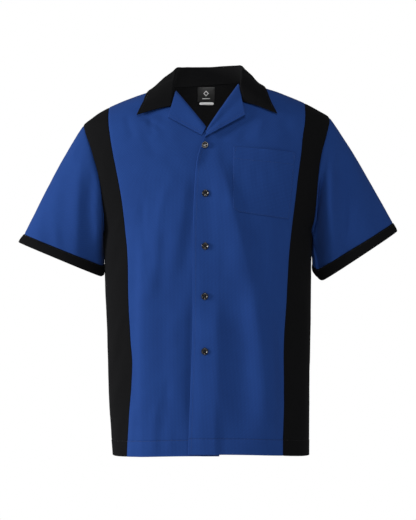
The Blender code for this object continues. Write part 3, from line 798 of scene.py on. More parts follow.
class Tree:
    """The nodes of a material or a world, added one after another."""

    def __init__(self, owner: Any) -> None:
        """Start from the owner's own nodes.

        Args:
            owner: a new material or world.
        """
        owner.use_nodes = True
        self.owner = owner
        self.nodes, self.links = owner.node_tree.nodes, owner.node_tree.links

    def add(self, kind: str, settings: Optional[dict] = None, **inputs: Any) -> bpy.types.Node:
        """Add a node.

        Args:
            kind: the node's type name, without its ShaderNode prefix.
            settings: attributes to set on the node.
            inputs: a value, or a socket to link from, for each input. An input's
                name is in lower case with _ for a space, or i and its number.

        Returns:
            The new node.
        """
        node = self.nodes.new(f"ShaderNode{kind}")
        for key, value in (settings or {}).items():
            setattr(node, key, value)
        for key, value in inputs.items():
            self.feed(node, key, value)
        return node

    def feed(self, node: bpy.types.Node, key: str, value: Any) -> None:
        """Set one input of a node, or link it.

        Args:
            node: the node.
            key: the input, named as in add.
            value: a value, or a socket to link.
        """
        if key[0] == "i" and key[1:].isdigit():
            socket = node.inputs[int(key[1:])]
        else:
            socket = next(s for s in node.inputs if s.name.lower().replace(" ", "_") == key)
        if isinstance(value, bpy.types.NodeSocket):
            self.links.new(value, socket)
        else:
            socket.default_value = value

    def dress(self, **inputs: Any) -> Material:
        """Feed the shader.

        Args:
            inputs: a value or a socket for each of its inputs, named as in add.

        Returns:
            The finished material.
        """
        for key, value in inputs.items():
            self.feed(self.nodes["Principled BSDF"], key, value)
        return self.owner

    def ramp(self, factor: Any, stops: Sequence[tuple[float, Any]]) -> bpy.types.NodeSocket:
        """A colour ramp over a factor; stops are (place, linear colour).

        Args:
            factor: the socket that drives it.
            stops: the places and colours.

        Returns:
            The colour socket.
        """
        node = self.add("ValToRGB", fac=factor)
        bar = node.color_ramp
        while len(bar.elements) < len(stops):
            bar.elements.new(0.5)
        for element, (at, colour) in zip(bar.elements, stops):
            element.position, element.color = at, colour
        return node.outputs["Color"]


@dataclass(frozen=True)
class WovenShirting:
    """Plain-woven cotton shirting: matt, with single threads across and along.

    The crossing threads break up every highlight, so the cloth reads soft, with a
    faint sheen where it turns away.
    """

    name: str
    deep: str
    pale: str
    roughness: float
    sheen: float
    specular: float
    thread_mm: float = 0.42  # about twice the real spacing, so that the weave shows

    def make(self) -> Material:
        """The material, with its weave laid along the cut of each piece.

        Returns:
            The material.
        """
        tree = Tree(bpy.data.materials.new(self.name))
        flat = tree.add("UVMap", {"uv_map": "cut"}).outputs["UV"]
        per_metre = 1000 / self.thread_mm / 2
        warp, weft = (
            tree.add(
                "TexWave", {"wave_type": "BANDS", "bands_direction": way, "wave_profile": "SIN"},
                vector=flat, scale=per_metre / 10, distortion=0.6, detail=1.0, detail_scale=3.0,
            ).outputs["Fac"]
            for way in ("X", "Y")
        )
        crossing = tree.add("Math", {"operation": "MULTIPLY"}, i0=warp, i1=weft).outputs[0]
        slub = tree.add("TexNoise", vector=flat, scale=900.0, detail=3.0, roughness=0.7)
        nap = tree.add("Math", {"operation": "MULTIPLY_ADD"}, i0=slub.outputs["Fac"], i1=0.8,
                       i2=crossing).outputs[0]
        soft = tree.add("TexNoise", vector=flat, scale=14.0, detail=2.0, roughness=0.5)
        bumped = tree.add("Bump", strength=0.35, distance=0.0002, height=nap)
        wavy = tree.add("Bump", strength=0.25, distance=0.0012, height=soft.outputs["Fac"],
                        normal=bumped.outputs["Normal"])
        shade = tree.add("MapRange", value=nap, from_min=0.2, from_max=1.4).outputs["Result"]
        mottle = tree.add("Math", {"operation": "MULTIPLY_ADD"}, i0=soft.outputs["Fac"], i1=0.35,
                          i2=shade).outputs[0]
        colour = tree.ramp(mottle, ((0.1, linear(self.deep)), (1.0, linear(self.pale))))
        return tree.dress(
            base_color=colour, roughness=self.roughness, sheen_weight=self.sheen,
            sheen_roughness=0.45, specular_ior_level=self.specular, normal=wavy.outputs["Normal"],
        )


@dataclass(frozen=True)
class SatinTape:
    """Satin-woven label tape: long floats that catch light in one direction."""

    name: str
    colour: str
    roughness: float = 0.42

    def make(self) -> Material:
        """The material, with fine floats across the tape.

        Returns:
            The material.
        """
        tree = Tree(bpy.data.materials.new(self.name))
        flat = tree.add("UVMap", {"uv_map": "cut"}).outputs["UV"]
        floats = tree.add(
            "TexWave", {"wave_type": "BANDS", "bands_direction": "Y", "wave_profile": "SIN"},
            vector=flat, scale=180.0, distortion=1.2, detail=1.0,
        ).outputs["Fac"]
        bumped = tree.add("Bump", strength=0.4, distance=0.0001, height=floats)
        base = linear(self.colour)
        dark = tuple(0.82 * c for c in base[:3]) + (1.0,)
        return tree.dress(
            base_color=tree.ramp(floats, ((0.0, dark), (1.0, base))), roughness=self.roughness,
            normal=bumped.outputs["Normal"],
        )


@dataclass(frozen=True)
class SpunThread:
    """Spun polyester sewing thread: slightly glossier than the cloth it holds."""

    name: str
    colour: str

    def make(self) -> Material:
        """The material, with a fine twist.

        Returns:
            The material.
        """
        tree = Tree(bpy.data.materials.new(self.name))
        place = tree.add("TexCoord").outputs["Object"]
        twist = tree.add("TexNoise", vector=place, scale=2600.0, detail=1.0).outputs["Fac"]
        bumped = tree.add("Bump", strength=0.3, distance=0.0001, height=twist)
        base = linear(self.colour)
        dark = tuple(0.7 * c for c in base[:3]) + (1.0,)
        return tree.dress(
            base_color=tree.ramp(twist, ((0.3, dark), (0.7, base))), roughness=0.55,
            sheen_weight=0.2, normal=bumped.outputs["Normal"],
        )


@dataclass(frozen=True)
class PolishedResin:
    """Cast polyester resin, tumbled to a gloss: deep, with a clear highlight."""

    name: str
    deep: str
    pale: str

    def make(self) -> Material:
        """The material, with faint clouding and fine tumbling marks.

        Returns:
            The material.
        """
        tree = Tree(bpy.data.materials.new(self.name))
        place = tree.add("TexCoord").outputs["Object"]
        cloud = tree.add("TexNoise", vector=place, scale=260.0, detail=3.0).outputs["Fac"]
        marks = tree.add("TexNoise", vector=place, scale=3000.0, detail=2.0).outputs["Fac"]
        rough = tree.add("MapRange", value=marks, to_min=0.12, to_max=0.26).outputs["Result"]
        bumped = tree.add("Bump", strength=0.08, distance=0.0001, height=marks)
        colour = tree.ramp(cloud, ((0.35, linear(self.deep)), (0.75, linear(self.pale))))
        return tree.dress(
            base_color=colour, roughness=rough, coat_weight=0.5, coat_roughness=0.06,
            normal=bumped.outputs["Normal"],
        )


@dataclass(frozen=True)
class StudioFloor:
    """Seamless studio paper: matt white."""

    name: str = "studio_paper"

    def make(self) -> Material:
        """The material, with a trace of paper grain.

        Returns:
            The material.
        """
        tree = Tree(bpy.data.materials.new(self.name))
        place = tree.add("TexCoord").outputs["Object"]
        grain = tree.add("TexNoise", vector=place, scale=40.0, detail=2.0).outputs["Fac"]
        colour = tree.ramp(grain, ((0.0, linear("e9e9e9")), (1.0, linear("efefef"))))
        return tree.dress(base_color=colour, roughness=0.9)


class Wardrobe:
    """The finishes of the shirt, each made once."""

    def __init__(self) -> None:
        """Make every finish."""
        self.blue = WovenShirting("woven_blue_poplin", "1b3773", "264b91", 0.85, 0.03, 0.10).make()
        self.black = WovenShirting("woven_black_poplin", "0d0d0e", "141415", 0.88, 0.01, 0.07).make()
        self.label = SatinTape("satin_woven_black_label", "141414").make()
        self.emblem = SatinTape("satin_woven_white_figure", "dcdcdc", 0.5).make()
        self.tape = SatinTape("woven_white_size_tape", "e6e6e6", 0.6).make()
        self.resin = PolishedResin("cast_black_resin", "0b0908", "1c1512").make()
        self.threads = {
            Thread.BLUE: SpunThread("spun_blue_thread", "1d3a72").make(),
            # The hem thread is darker than the cloth: partly real thread colour, partly painted
            # shade of the hem's groove.
            Thread.NAVY: SpunThread("spun_navy_thread", "0c1a36").make(),
            Thread.BLACK: SpunThread("spun_black_thread", "151515").make(),
        }


# ---- mesh making


def grid_normals(grid: Grid, outside: Array, tube: bool = False) -> Array:
    """Unit normals of a grid, turned the way that outside mostly points.

    Args:
        grid: rows of points.
        outside: a way that each point roughly faces.
        tube: whether each row closes on itself.

    Returns:
        A normal for each point.
    """
    if tube:
        across = np.roll(grid, -1, axis=1) - np.roll(grid, 1, axis=1)
    else:
        across = np.gradient(grid, axis=1)
    normal = unit(np.cross(np.gradient(grid, axis=0), across))
    return normal if float((normal * outside).sum()) >= 0 else -normal


def placed(name: str, data: Any) -> Object:
    """An object that holds data, linked to the scene."""
    made = bpy.data.objects.new(name, data)
    bpy.context.scene.collection.objects.link(made)
    return made


def mesh_object(
    name: str, points: Array, faces: Sequence[Sequence[int]], finish: Material,
    flat: Optional[Array] = None,
) -> Object:
    """A smooth-shaded mesh object.

    Args:
        name: the object's name.
        points: its points, in mm.
        faces: the point numbers of each face.
        finish: its material.
        flat: a place on the cut cloth for each point, in mm.

    Returns:
        The object, linked to the scene.
    """
    mesh = bpy.data.meshes.new(name)
    mesh.from_pydata((points * MM).tolist(), [], [tuple(map(int, f)) for f in faces])
    if flat is not None:
        layer = mesh.uv_layers.new(name="cut")
        corner = np.empty(len(mesh.loops), np.int32)
        mesh.loops.foreach_get("vertex_index", corner)
        layer.data.foreach_set("uv", (flat[corner] * MM).astype(np.float32).ravel())
    mesh.materials.append(finish)
    mesh.shade_smooth()
    return placed(name, mesh)


@dataclass
class Shell:
    """A cloth piece: an outer face, a wall inside it, and rounded free edges."""

    name: str
    grid: Grid
    wall: Any
    outside: Array
    tube: bool = False
    rounding: float = 0.35
    normals: Array = field(init=False)

    def __post_init__(self) -> None:
        """Find the normals once."""
        self.normals = grid_normals(self.grid, self.outside, self.tube)

    def edges(self) -> list[Array]:
        """The point numbers round each free edge, in order.

        Returns:
            A ring of point numbers for each.
        """
        rows, columns = self.grid.shape[:2]
        number = np.arange(rows * columns).reshape(rows, columns)
        if self.tube:
            return [number[0], number[-1]]
        return [
            np.concatenate([number[0, :-1], number[:-1, -1], number[-1, :0:-1], number[:0:-1, 0]])
        ]

    def build(self, finish: Material) -> Object:
        """Make the closed mesh.

        Args:
            finish: its material.

        Returns:
            The object.
        """
        rows, columns = self.grid.shape[:2]
        outer = self.grid.reshape(-1, 3)
        normal = self.normals.reshape(-1, 3)
        wall = np.broadcast_to(np.asarray(self.wall, float), (rows, columns)).reshape(-1, 1)
        inner = outer - normal * wall
        count = len(outer)
        number = np.arange(count).reshape(rows, columns)
        if self.tube:
            beside = np.roll(number, -1, axis=1)
            a, b, c, d = number[:-1], number[1:], beside[1:], beside[:-1]
        else:
            a, b, c, d = number[:-1, :-1], number[1:, :-1], number[1:, 1:], number[:-1, 1:]
        quads = np.stack([a, b, c, d], axis=-1).reshape(-1, 4)
        middle = quads[len(quads) // 2]
        turn = np.cross(outer[middle[1]] - outer[middle[0]], outer[middle[3]] - outer[middle[0]])
        if float(turn @ normal[middle[0]]) < 0:
            quads = quads[:, ::-1]
        faces = [quads, quads[:, ::-1] + count]
        flat = paired(along(self.grid, 1), along(self.grid, 0)).reshape(-1, 2)
        points, places = [outer, inner], [flat, flat]
        total = 2 * count
        for edge in self.edges():
            run = outer[np.roll(edge, -1)] - outer[np.roll(edge, 1)]
            away = unit(np.cross(run, normal[edge]))
            step = self._inward(edge, outer, number)
            away = np.where((away * step).sum(axis=-1, keepdims=True) > 0, -away, away)
            rim = (outer[edge] + inner[edge]) / 2 + away * wall[edge] * self.rounding
            points.append(rim)
            places.append(flat[edge])
            at = total + np.arange(len(edge))
            after, at_after = np.roll(edge, -1), np.roll(at, -1)
            upper = np.stack([edge, after, at_after, at], axis=-1)
            lower = np.stack([at, at_after, after + count, edge + count], axis=-1)
            strip = np.concatenate([upper, lower])
            mid = len(edge) // 3
            facing = np.cross(outer[after[mid]] - outer[edge[mid]], rim[mid] - outer[edge[mid]])
            if float(facing @ (away[mid] + normal[edge[mid]])) < 0:
                strip = strip[:, ::-1]
            faces.append(strip)
            total += len(edge)
        return mesh_object(
            self.name, np.concatenate(points), np.concatenate(faces), finish, np.concatenate(places)
        )

    def _inward(self, edge: Array, outer: Array, number: Array) -> Array:
        """For each point of an edge, the way into the piece.

        Args:
            edge: the edge's point numbers.
            outer: the outer points.
            number: the grid of point numbers.

        Returns:
            The steps inward.
        """
        rows, columns = number.shape
        row, column = np.divmod(edge, columns)
        row_in = np.clip(row, 1, rows - 2)
        column_in = column if self.tube else np.clip(column, 1, columns - 2)
        return outer[number[row_in, column_in]] - outer[edge]


@dataclass(frozen=True)
class StitchRow:
    """A row of lockstitches: short raised threads that dive into the cloth."""

    pitch: float = 2.9
    length: float = 2.2
    radius: float = 0.2

    def mesh(self, line: Array, facing: Array) -> tuple[Array, Array]:
        """Points and faces of the stitches along a line.

        Args:
            line: points along the seam, in mm.
            facing: the cloth's normal at each.

        Returns:
            The points in mm, and the faces that join them.
        """
        run = along(line, 0)
        count = int(run[-1] / self.pitch)
        if count < 1:
            return np.zeros((0, 3)), np.zeros((0, 4), int)
        start = (np.arange(count) + 0.5) * run[-1] / count
        rings = []
        for share, lift, size in ((-0.5, -0.12, 0.4), (0.0, 0.16, 1.0), (0.5, -0.12, 0.4)):
            at = np.clip(start + share * self.length, 0, run[-1])
            place, up = read_along(at, run, line), unit(read_along(at, run, facing))
            ahead = read_along(at + 0.4, run, line) - read_along(at - 0.4, run, line)
            side = unit(np.cross(up, ahead)) * self.radius * size
            top = up * self.radius * size
            place = place + up * lift
            rings.append(np.stack([place + side, place + top, place - side, place - top], axis=1))
        points = np.stack(rings, axis=1).reshape(-1, 3)
        one = []
        for r in range(2):
            for k in range(4):
                j = (k + 1) % 4
                one.append((r * 4 + k, r * 4 + j, r * 4 + 4 + j, r * 4 + 4 + k))
        one += [(3, 2, 1, 0), (8, 9, 10, 11)]
        faces = (np.array(one)[None] + 12 * np.arange(count)[:, None, None]).reshape(-1, 4)
        return points, faces


class StitchBook:
    """Gathers stitches by thread and by the piece that they are on."""

    def __init__(self) -> None:
        """Start with no stitches."""
        self.rows: dict[tuple[str, Thread], list[tuple[Array, Array]]] = {}

    def sew(
        self, piece: str, thread: Thread, line: Array, facing: Array, row: StitchRow = StitchRow(),
    ) -> None:
        """Add a row of stitches to a piece."""
        self.rows.setdefault((piece, thread), []).append(row.mesh(line, facing))

    def build(self, wardrobe: Wardrobe) -> None:
        """Make one object for each piece and thread.

        Args:
            wardrobe: the finishes.
        """
        for (piece, thread), parts in self.rows.items():
            points, faces, start = [], [], 0
            for some, joins in parts:
                points.append(some)
                faces.append(joins + start)
                start += len(some)
            made = mesh_object(
                f"{piece}_{thread.value}", np.concatenate(points), np.concatenate(faces),
                wardrobe.threads[thread],
            )
            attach(made, BODY_NAME)
            LOG.info("stitches on %s: %d triangles", piece, 2 * len(made.data.polygons))


def line_on(shell: Shell, v: float, axis: int) -> tuple[Array, Array]:
    """A line across a shell at a fixed distance from an edge.

    Args:
        shell: the piece.
        v: distance in mm from its first row or column, or from its last if below 0.
        axis: 0 for a line along the rows, 1 for one along the columns.

    Returns:
        Points and normals along the line.
    """
    run = along(shell.grid, axis)
    whole = np.take(run, [-1], axis=axis)
    at = (whole + v) if v < 0 else np.full_like(whole, v)
    order = np.moveaxis(run, axis, 0)
    at = np.moveaxis(at, axis, 0)[0]
    grid, normal = np.moveaxis(shell.grid, axis, 0), np.moveaxis(shell.normals, axis, 0)
    lines = range(order.shape[1])
    points = np.array([read_along(at[k], order[:, k], grid[:, k]) for k in lines])
    return points, unit(np.array([read_along(at[k], order[:, k], normal[:, k]) for k in lines]))


# ---- the pieces


def front_places(side: Side, left: Array, right: Array, across: Array, rows: Array) -> Array:
    """The (wrap, z) places of a front or side front, from the shoulder to the hem."""
    top = CUT.shoulder(side, Face.FRONT, left[0, 1], right[0, 1])
    foot = CUT.hem(Face.FRONT, left[-1, 0], right[-1, 0], side)
    return between(Face.FRONT, top, foot, left, right, across, rows / ALL_ROWS)


class ClothPiece:
    """A cut piece of the shirt: it gives its cloth, and sews its own rows of stitches."""

    def shell(self) -> Shell:
        """The piece's cloth."""
        raise NotImplementedError(type(self).__name__)

    def sew(self, shell: Shell, book: StitchBook) -> None:
        """Sew nothing, unless the piece has rows of its own."""


@dataclass(frozen=True)
class Track:
    """A seam made of several paths, each a number of rows long."""

    face: Face
    parts: tuple[tuple[Array, float], ...]

    def at(self, rows: Array) -> Array:
        """The (wrap, z) places at row numbers.

        Args:
            rows: row numbers.

        Returns:
            The places.
        """
        found = np.zeros((len(rows), 2))
        start = 0.0
        for path, count in self.parts:
            mask = (rows >= start - 1e-9) & (rows <= start + count + 1e-9)
            found[mask] = FORM.evened(self.face, path, (rows[mask] - start) / count)
            start += count
        return found


@dataclass
class Draping:
    """How flat cloth sits once sewn: seam dips, puckers, hem and a faint ripple."""

    seam_dip: float = 0.8
    seam_width: float = 1.4
    pucker: float = 0.22
    pucker_length: float = 11.0
    ripple: float = 0.28
    ripple_length: float = 46.0
    hem_depth: float = 30.5
    hem_step: float = 0.35
    hem_groove: float = 0.9
    seed: int = 3

    def height(
        self, base: Grid, seams: Sequence[str], hem: bool, pucker: Optional[dict] = None
    ) -> Array:
        """Height to add at each point of a panel.

        Args:
            base: the panel's points on the body.
            seams: the edges that are sewn: left, right, top or foot.
            hem: whether its foot is hemmed.
            pucker: strength of the puckers on an edge, where it isn't 1.

        Returns:
            Heights in mm.
        """
        across, down = along(base, 1), along(base, 0)
        away = {
            "left": across, "right": across[:, -1:] - across, "top": down, "foot": down[-1:] - down,
        }
        total = Ripple(self.seed, self.ripple_length).at(across, down) * self.ripple
        pick = np.random.default_rng(self.seed + 17)
        for edge in seams:
            run = down if edge in ("left", "right") else across
            wander = 0.8 * np.sin(run / 37 + pick.uniform(0, 6)) + 0.5 * np.sin(run / 13)
            strength = (pucker or {}).get(edge, 1.0) * (0.55 + 0.45 * np.sin(run / 61 + 2 * wander))
            wave = np.sin(2 * math.pi * run / self.pucker_length + 2.2 * wander)
            total += self.pucker * strength * wave * np.exp(-away[edge] / 8)
            total -= self.seam_dip * bump(away[edge], self.seam_width)
        if hem:
            rise = away["foot"]
            total += self.hem_step * ease((self.hem_depth + 0.6 - rise) / 1.2)
            total -= self.hem_groove * bump(rise - self.hem_depth, 1.0)
            wave = np.sin(2 * math.pi * across / 13 + 1.5 * np.sin(across / 31))
            total += 0.14 * wave * bump(rise - self.hem_depth, 7)
        return total


def lap(side: Side, x: Array) -> Array:
    """How far a front is moved out, or in, where the two lap."""
    if side is Side.RIGHT:
        return 1.0 * (1 - ease((x - 17) / 16))
    return -1.0 * ease((x + 74) / 34)


def skin(piece: str, face: Face, places: Array, side: Optional[Side] = None) -> Grid:
    """Points of a panel with its folds, at (wrap, z) places.

    Args:
        piece: whose folds it has.
        face: the half of the body.
        places: (wrap, z) places.
        side: the front that laps, if any.

    Returns:
        The points, in mm.
    """
    base = FORM.point(face, places)
    facing = FORM.outward(base)
    level = np.hypot(facing[..., 0], facing[..., 1])
    amount = fold_height(piece, base[..., 0], base[..., 2]) * level * np.abs(facing[..., 1])
    if side is not None:
        amount = amount + lap(side, base[..., 0])
    return base + facing * amount[..., None]


def pulled_in(grid: Grid, gaps: dict[str, float]) -> Grid:
    """The grid with its edges pulled back into it by the seam gaps.

    Args:
        grid: the panel's points.
        gaps: how far each edge goes back, in mm.

    Returns:
        The moved grid.
    """
    moved = grid.copy()
    places = {
        "top": (np.s_[0], np.s_[1]), "foot": (np.s_[-1], np.s_[-2]),
        "left": (np.s_[:, 0], np.s_[:, 1]), "right": (np.s_[:, -1], np.s_[:, -2]),
    }
    for edge, gap in gaps.items():
        place, inner = places[edge]
        run = grid[inner] - grid[place]
        moved[place] += unit(run) * np.minimum(gap, np.linalg.norm(run, axis=-1, keepdims=True) / 2)
    return moved


APART = ((7.0, 3.2), (3.0, 0.7), (0.9, 0.05))
ACROSS = ((7.0, -2.4), (3.0, -0.4), (0.9, -0.05))


def turned_under(
    grid: Grid, facing: Array, edges: Sequence[str], steps: Sequence[tuple[float, float]] = APART,
) -> tuple[Grid, Array]:
    """The grid with its seam allowances turned inside at the named edges.

    Args:
        grid: the piece's points.
        facing: the way out at each.
        edges: top, left or right.
        steps: how deep, and how far back from the edge, each new row is.

    Returns:
        The grid, and the way out, with three more rows or columns at each edge.
    """
    for edge in edges:
        axis = 0 if edge == "top" else 1
        turned = np.moveaxis(grid, axis, 0), np.moveaxis(facing, axis, 0)
        if edge == "right":
            turned = turned[0][::-1], turned[1][::-1]
        points, out = turned
        back = unit(points[3] - points[0])
        more = [points[0] - out[0] * d + back * e for d, e in steps]
        points = np.concatenate([np.array(more), points])
        out = np.concatenate([np.repeat(out[:1], 3, axis=0), out])
        if edge == "right":
            points, out = points[::-1], out[::-1]
        grid, facing = np.moveaxis(points, 0, axis), np.moveaxis(out, 0, axis)
    return grid, facing


def row_numbers(count: float, step: float, marks: Sequence[float] = ()) -> Array:
    """Row numbers from 0 to count, evenly spaced and close together at marks.

    Args:
        count: the last row number.
        step: the even spacing.
        marks: row numbers that get close rows, such as a hem.

    Returns:
        The row numbers.
    """
    even = np.linspace(0, count, int(round(count / step)) + 1)
    close = np.array([-0.07, -0.045, -0.028, -0.016, 0, 0.016, 0.028, 0.045, 0.07])
    kept = np.concatenate([[0, count], *[m + close for m in (0.0, count, *marks)]])
    kept = np.unique(np.round(kept[(kept >= 0) & (kept <= count)], 4))
    far = np.array([np.min(np.abs(kept - e)) > 0.45 * step for e in even])
    return np.sort(np.concatenate([kept, even[far]]))


NECK_ROWS, ROLL_ROWS, BODY_ROWS, ARMHOLE_ROWS, SHOULDER_ROWS = 3, 6, 16, 13, 7
ALL_ROWS = NECK_ROWS + ROLL_ROWS + BODY_ROWS
ROW_MM = 36.5  # height of a row below the neck
HEM_ROW = ALL_ROWS - 30.5 / ROW_MM
FRONT_ROW_STEP = 0.115


@dataclass
class FrontPanel(ClothPiece):
    """One blue front, from the neck and shoulder to the hem."""

    side: Side
    width: float = 190.0
    step: float = 4.2
    edge_seam: float = 6.0
    wall: float = 1.0
    edge_wall: float = 1.7
    lapel_foot: float = -110.0
    draping: Draping = field(default_factory=Draping)

    def shell(self) -> Shell:
        """The front's cloth.

        Returns:
            The shell.
        """
        first, roll, fall = CUT.front_edge(self.side)
        inner = Track(Face.FRONT, ((first, NECK_ROWS), (roll, ROLL_ROWS), (fall, BODY_ROWS)))
        upper, lower = CUT.princess(self.side)
        outer = Track(Face.FRONT, ((upper, NECK_ROWS + ROLL_ROWS), (lower, BODY_ROWS)))
        rows = row_numbers(ALL_ROWS, FRONT_ROW_STEP, (HEM_ROW,))
        left, right = inner.at(rows), outer.at(rows)
        places = front_places(self.side, left, right, stations(self.width, self.step), rows)
        name = f"front_{self.side.word}"
        base = skin(name, Face.FRONT, places, self.side)
        facing = FORM.outward(base)
        self.draping.seed = 5 if self.side is Side.LEFT else 8
        height = self.draping.height(base, ("right", "top"), True)
        from_edge = along(base, 1)
        below = ease((rows - NECK_ROWS - ROLL_ROWS) / 1.0)[:, None]
        height -= 0.35 * bump(from_edge, 0.7) * below
        height -= 0.16 * bump(from_edge - self.edge_seam, 0.8) * below
        grid = pulled_in(base + facing * height[..., None], {"top": 0.2, "right": 0.15})
        wall = self.wall + (self.edge_wall - self.wall) * below * ease((40 - from_edge) / 12)
        grid, facing = turned_under(grid, facing, ("right", "top"))
        return Shell(name, grid, np.pad(wall, ((3, 0), (0, 3)), mode="edge"), facing)

    def sew(self, shell: Shell, book: StitchBook) -> None:
        """Sew its hem, and its front edge below the lapel.

        Args:
            shell: its cloth.
            book: what gathers stitches.
        """
        line, facing = line_on(shell, -self.draping.hem_depth, 0)
        # The hem row is sewn in the darker thread, which also paints shade along the hem's groove.
        book.sew(shell.name, Thread.NAVY, line, facing, StitchRow(radius=0.3))
        line, facing = line_on(shell, self.edge_seam, 1)
        low = line[:, 2] < self.lapel_foot
        book.sew(shell.name, Thread.BLUE, line[low], facing[low])


@dataclass
class SidePanel(ClothPiece):
    """One black side front, from the shoulder past the armhole to the hem."""

    side: Side
    width: float = 95.0
    step: float = 3.8
    draping: Draping = field(default_factory=lambda: Draping(seed=11))

    def shell(self) -> Shell:
        """The side front's cloth.

        Returns:
            The shell.
        """
        upper, lower = CUT.princess(self.side)
        inner = Track(Face.FRONT, ((upper, NECK_ROWS + ROLL_ROWS), (lower, BODY_ROWS)))
        rows = row_numbers(ALL_ROWS, FRONT_ROW_STEP, (HEM_ROW,))
        left = inner.at(rows)
        right = side_outline(self.side, Face.FRONT, rows)
        places = front_places(self.side, left, right, stations(self.width, self.step), rows)
        name = f"side_front_{self.side.word}"
        base = skin(name, Face.FRONT, places)
        facing = FORM.outward(base)
        self.draping.seed = 11 if self.side is Side.LEFT else 14
        height = self.draping.height(base, ("left", "right", "top"), True)
        grid = pulled_in(
            base + facing * height[..., None], {"top": 0.2, "left": 0.15, "right": 0.15}
        )
        grid, facing = turned_under(grid, facing, ("left", "right", "top"))
        return Shell(name, grid, 1.0, facing)

    def sew(self, shell: Shell, book: StitchBook) -> None:
        """Sew its hem."""
        book.sew(shell.name, Thread.BLACK, *line_on(shell, -self.draping.hem_depth, 0))


def side_outline(side: Side, face: Face, rows: Array) -> Array:
    """Armhole and side seam at row numbers, as (wrap, z) places.

    Args:
        side: left or right.
        face: front or back.
        rows: row numbers from the armhole's top.

    Returns:
        The places.
    """
    hole = CUT.armhole(side, face, 521)
    share = np.linspace(0, ARMHOLE_ROWS, len(hole))
    seam = CUT.side_seam(side)
    fall = np.linspace(ARMHOLE_ROWS, ALL_ROWS, len(seam))
    at = np.concatenate([share, fall[1:]])
    path = np.concatenate([hole, seam[1:]])
    return read_along(rows, at, path)


@dataclass
class BackPanel(ClothPiece):
    """The one-piece back, in level rows from shoulder seam to shoulder seam."""

    width: float = 520.0
    step: float = 5.0
    row_step: float = 0.16
    hem_mark: float = 28.0 / ROW_MM
    draping: Draping = field(default_factory=lambda: Draping(seed=23, ripple=0.4, ripple_length=70))

    def _outline(self, side: Side, rows: Array) -> Array:
        """Shoulder seam, armhole and side seam on one side.

        Args:
            side: left or right.
            rows: row numbers.

        Returns:
            The places.
        """
        wrap = side.value * (1 + FORM.seam_angle / (math.pi / 2))
        corner = CUT.armhole(side, Face.BACK)[0]
        high = float(FORM.neck[side](math.degrees(FORM.seam_angle)))
        z = np.linspace(high, corner[1], 100)
        seam = paired(np.full_like(z, wrap), z)
        seam[-1] = corner
        found = np.zeros((len(rows), 2))
        on_seam = rows <= SHOULDER_ROWS
        found[on_seam] = FORM.evened(Face.BACK, seam, rows[on_seam] / SHOULDER_ROWS)
        found[~on_seam] = side_outline(side, Face.BACK, rows[~on_seam] - SHOULDER_ROWS)
        return found

    def shell(self) -> Shell:
        """The back's cloth.

        Returns:
            The shell.
        """
        count = SHOULDER_ROWS + ALL_ROWS
        rows = row_numbers(count, self.row_step, (count - self.hem_mark,))
        left, right = self._outline(Side.LEFT, rows), self._outline(Side.RIGHT, rows)
        wrap = np.linspace(left[0, 0], right[0, 0], 321)
        z = np.where(
            wrap < 0, FORM.neck[Side.LEFT](-(1 - np.abs(wrap)) * 90),
            FORM.neck[Side.RIGHT](-(1 - np.abs(wrap)) * 90),
        )
        places = between(
            Face.BACK, paired(wrap, z), CUT.hem(Face.BACK, -1.0, 1.0), left, right,
            stations(self.width, self.step), rows / count,
        )
        base = skin("back", Face.BACK, places)
        facing = FORM.outward(base)
        height = self.draping.height(base, ("left", "right"), True)
        grid = pulled_in(base + facing * height[..., None], {"left": 0.2, "right": 0.2})
        grid, facing = turned_under(grid, facing, ("left", "right"), ACROSS)
        return Shell("back", grid, 1.0, facing)

    def sew(self, shell: Shell, book: StitchBook) -> None:
        """Sew its hem."""
        book.sew(shell.name, Thread.BLACK, *line_on(shell, -self.draping.hem_depth, 0))


TUCK_AT, TUCK_WIDE = 3.45, 0.3


def ring_at(cuff: CuffEnd, turn: Array, grow: float = 0.0) -> Array:
    """Points of a sleeve end; turn 0 is its top and a right angle its front.

    Args:
        cuff: the sleeve end.
        turn: angles round it.
        grow: how much larger it is, in mm.

    Returns:
        The points, in mm.
    """
    outer = np.array((cuff.outer[0], cuff.middle_y, cuff.outer[1]), float)
    inner = np.array((cuff.inner[0], cuff.middle_y, cuff.inner[1]), float)
    middle, arm = (outer + inner) / 2, (outer - inner) / 2
    arm *= 1 + grow / np.linalg.norm(arm)
    deep = np.array((0, -(cuff.depth + grow), 0))
    push = np.array((cuff.tuck[0], 0, cuff.tuck[1]))
    ring = middle + np.cos(turn)[..., None] * arm + np.sin(turn)[..., None] * deep
    return ring + bump(turn - TUCK_AT, TUCK_WIDE)[..., None] * push


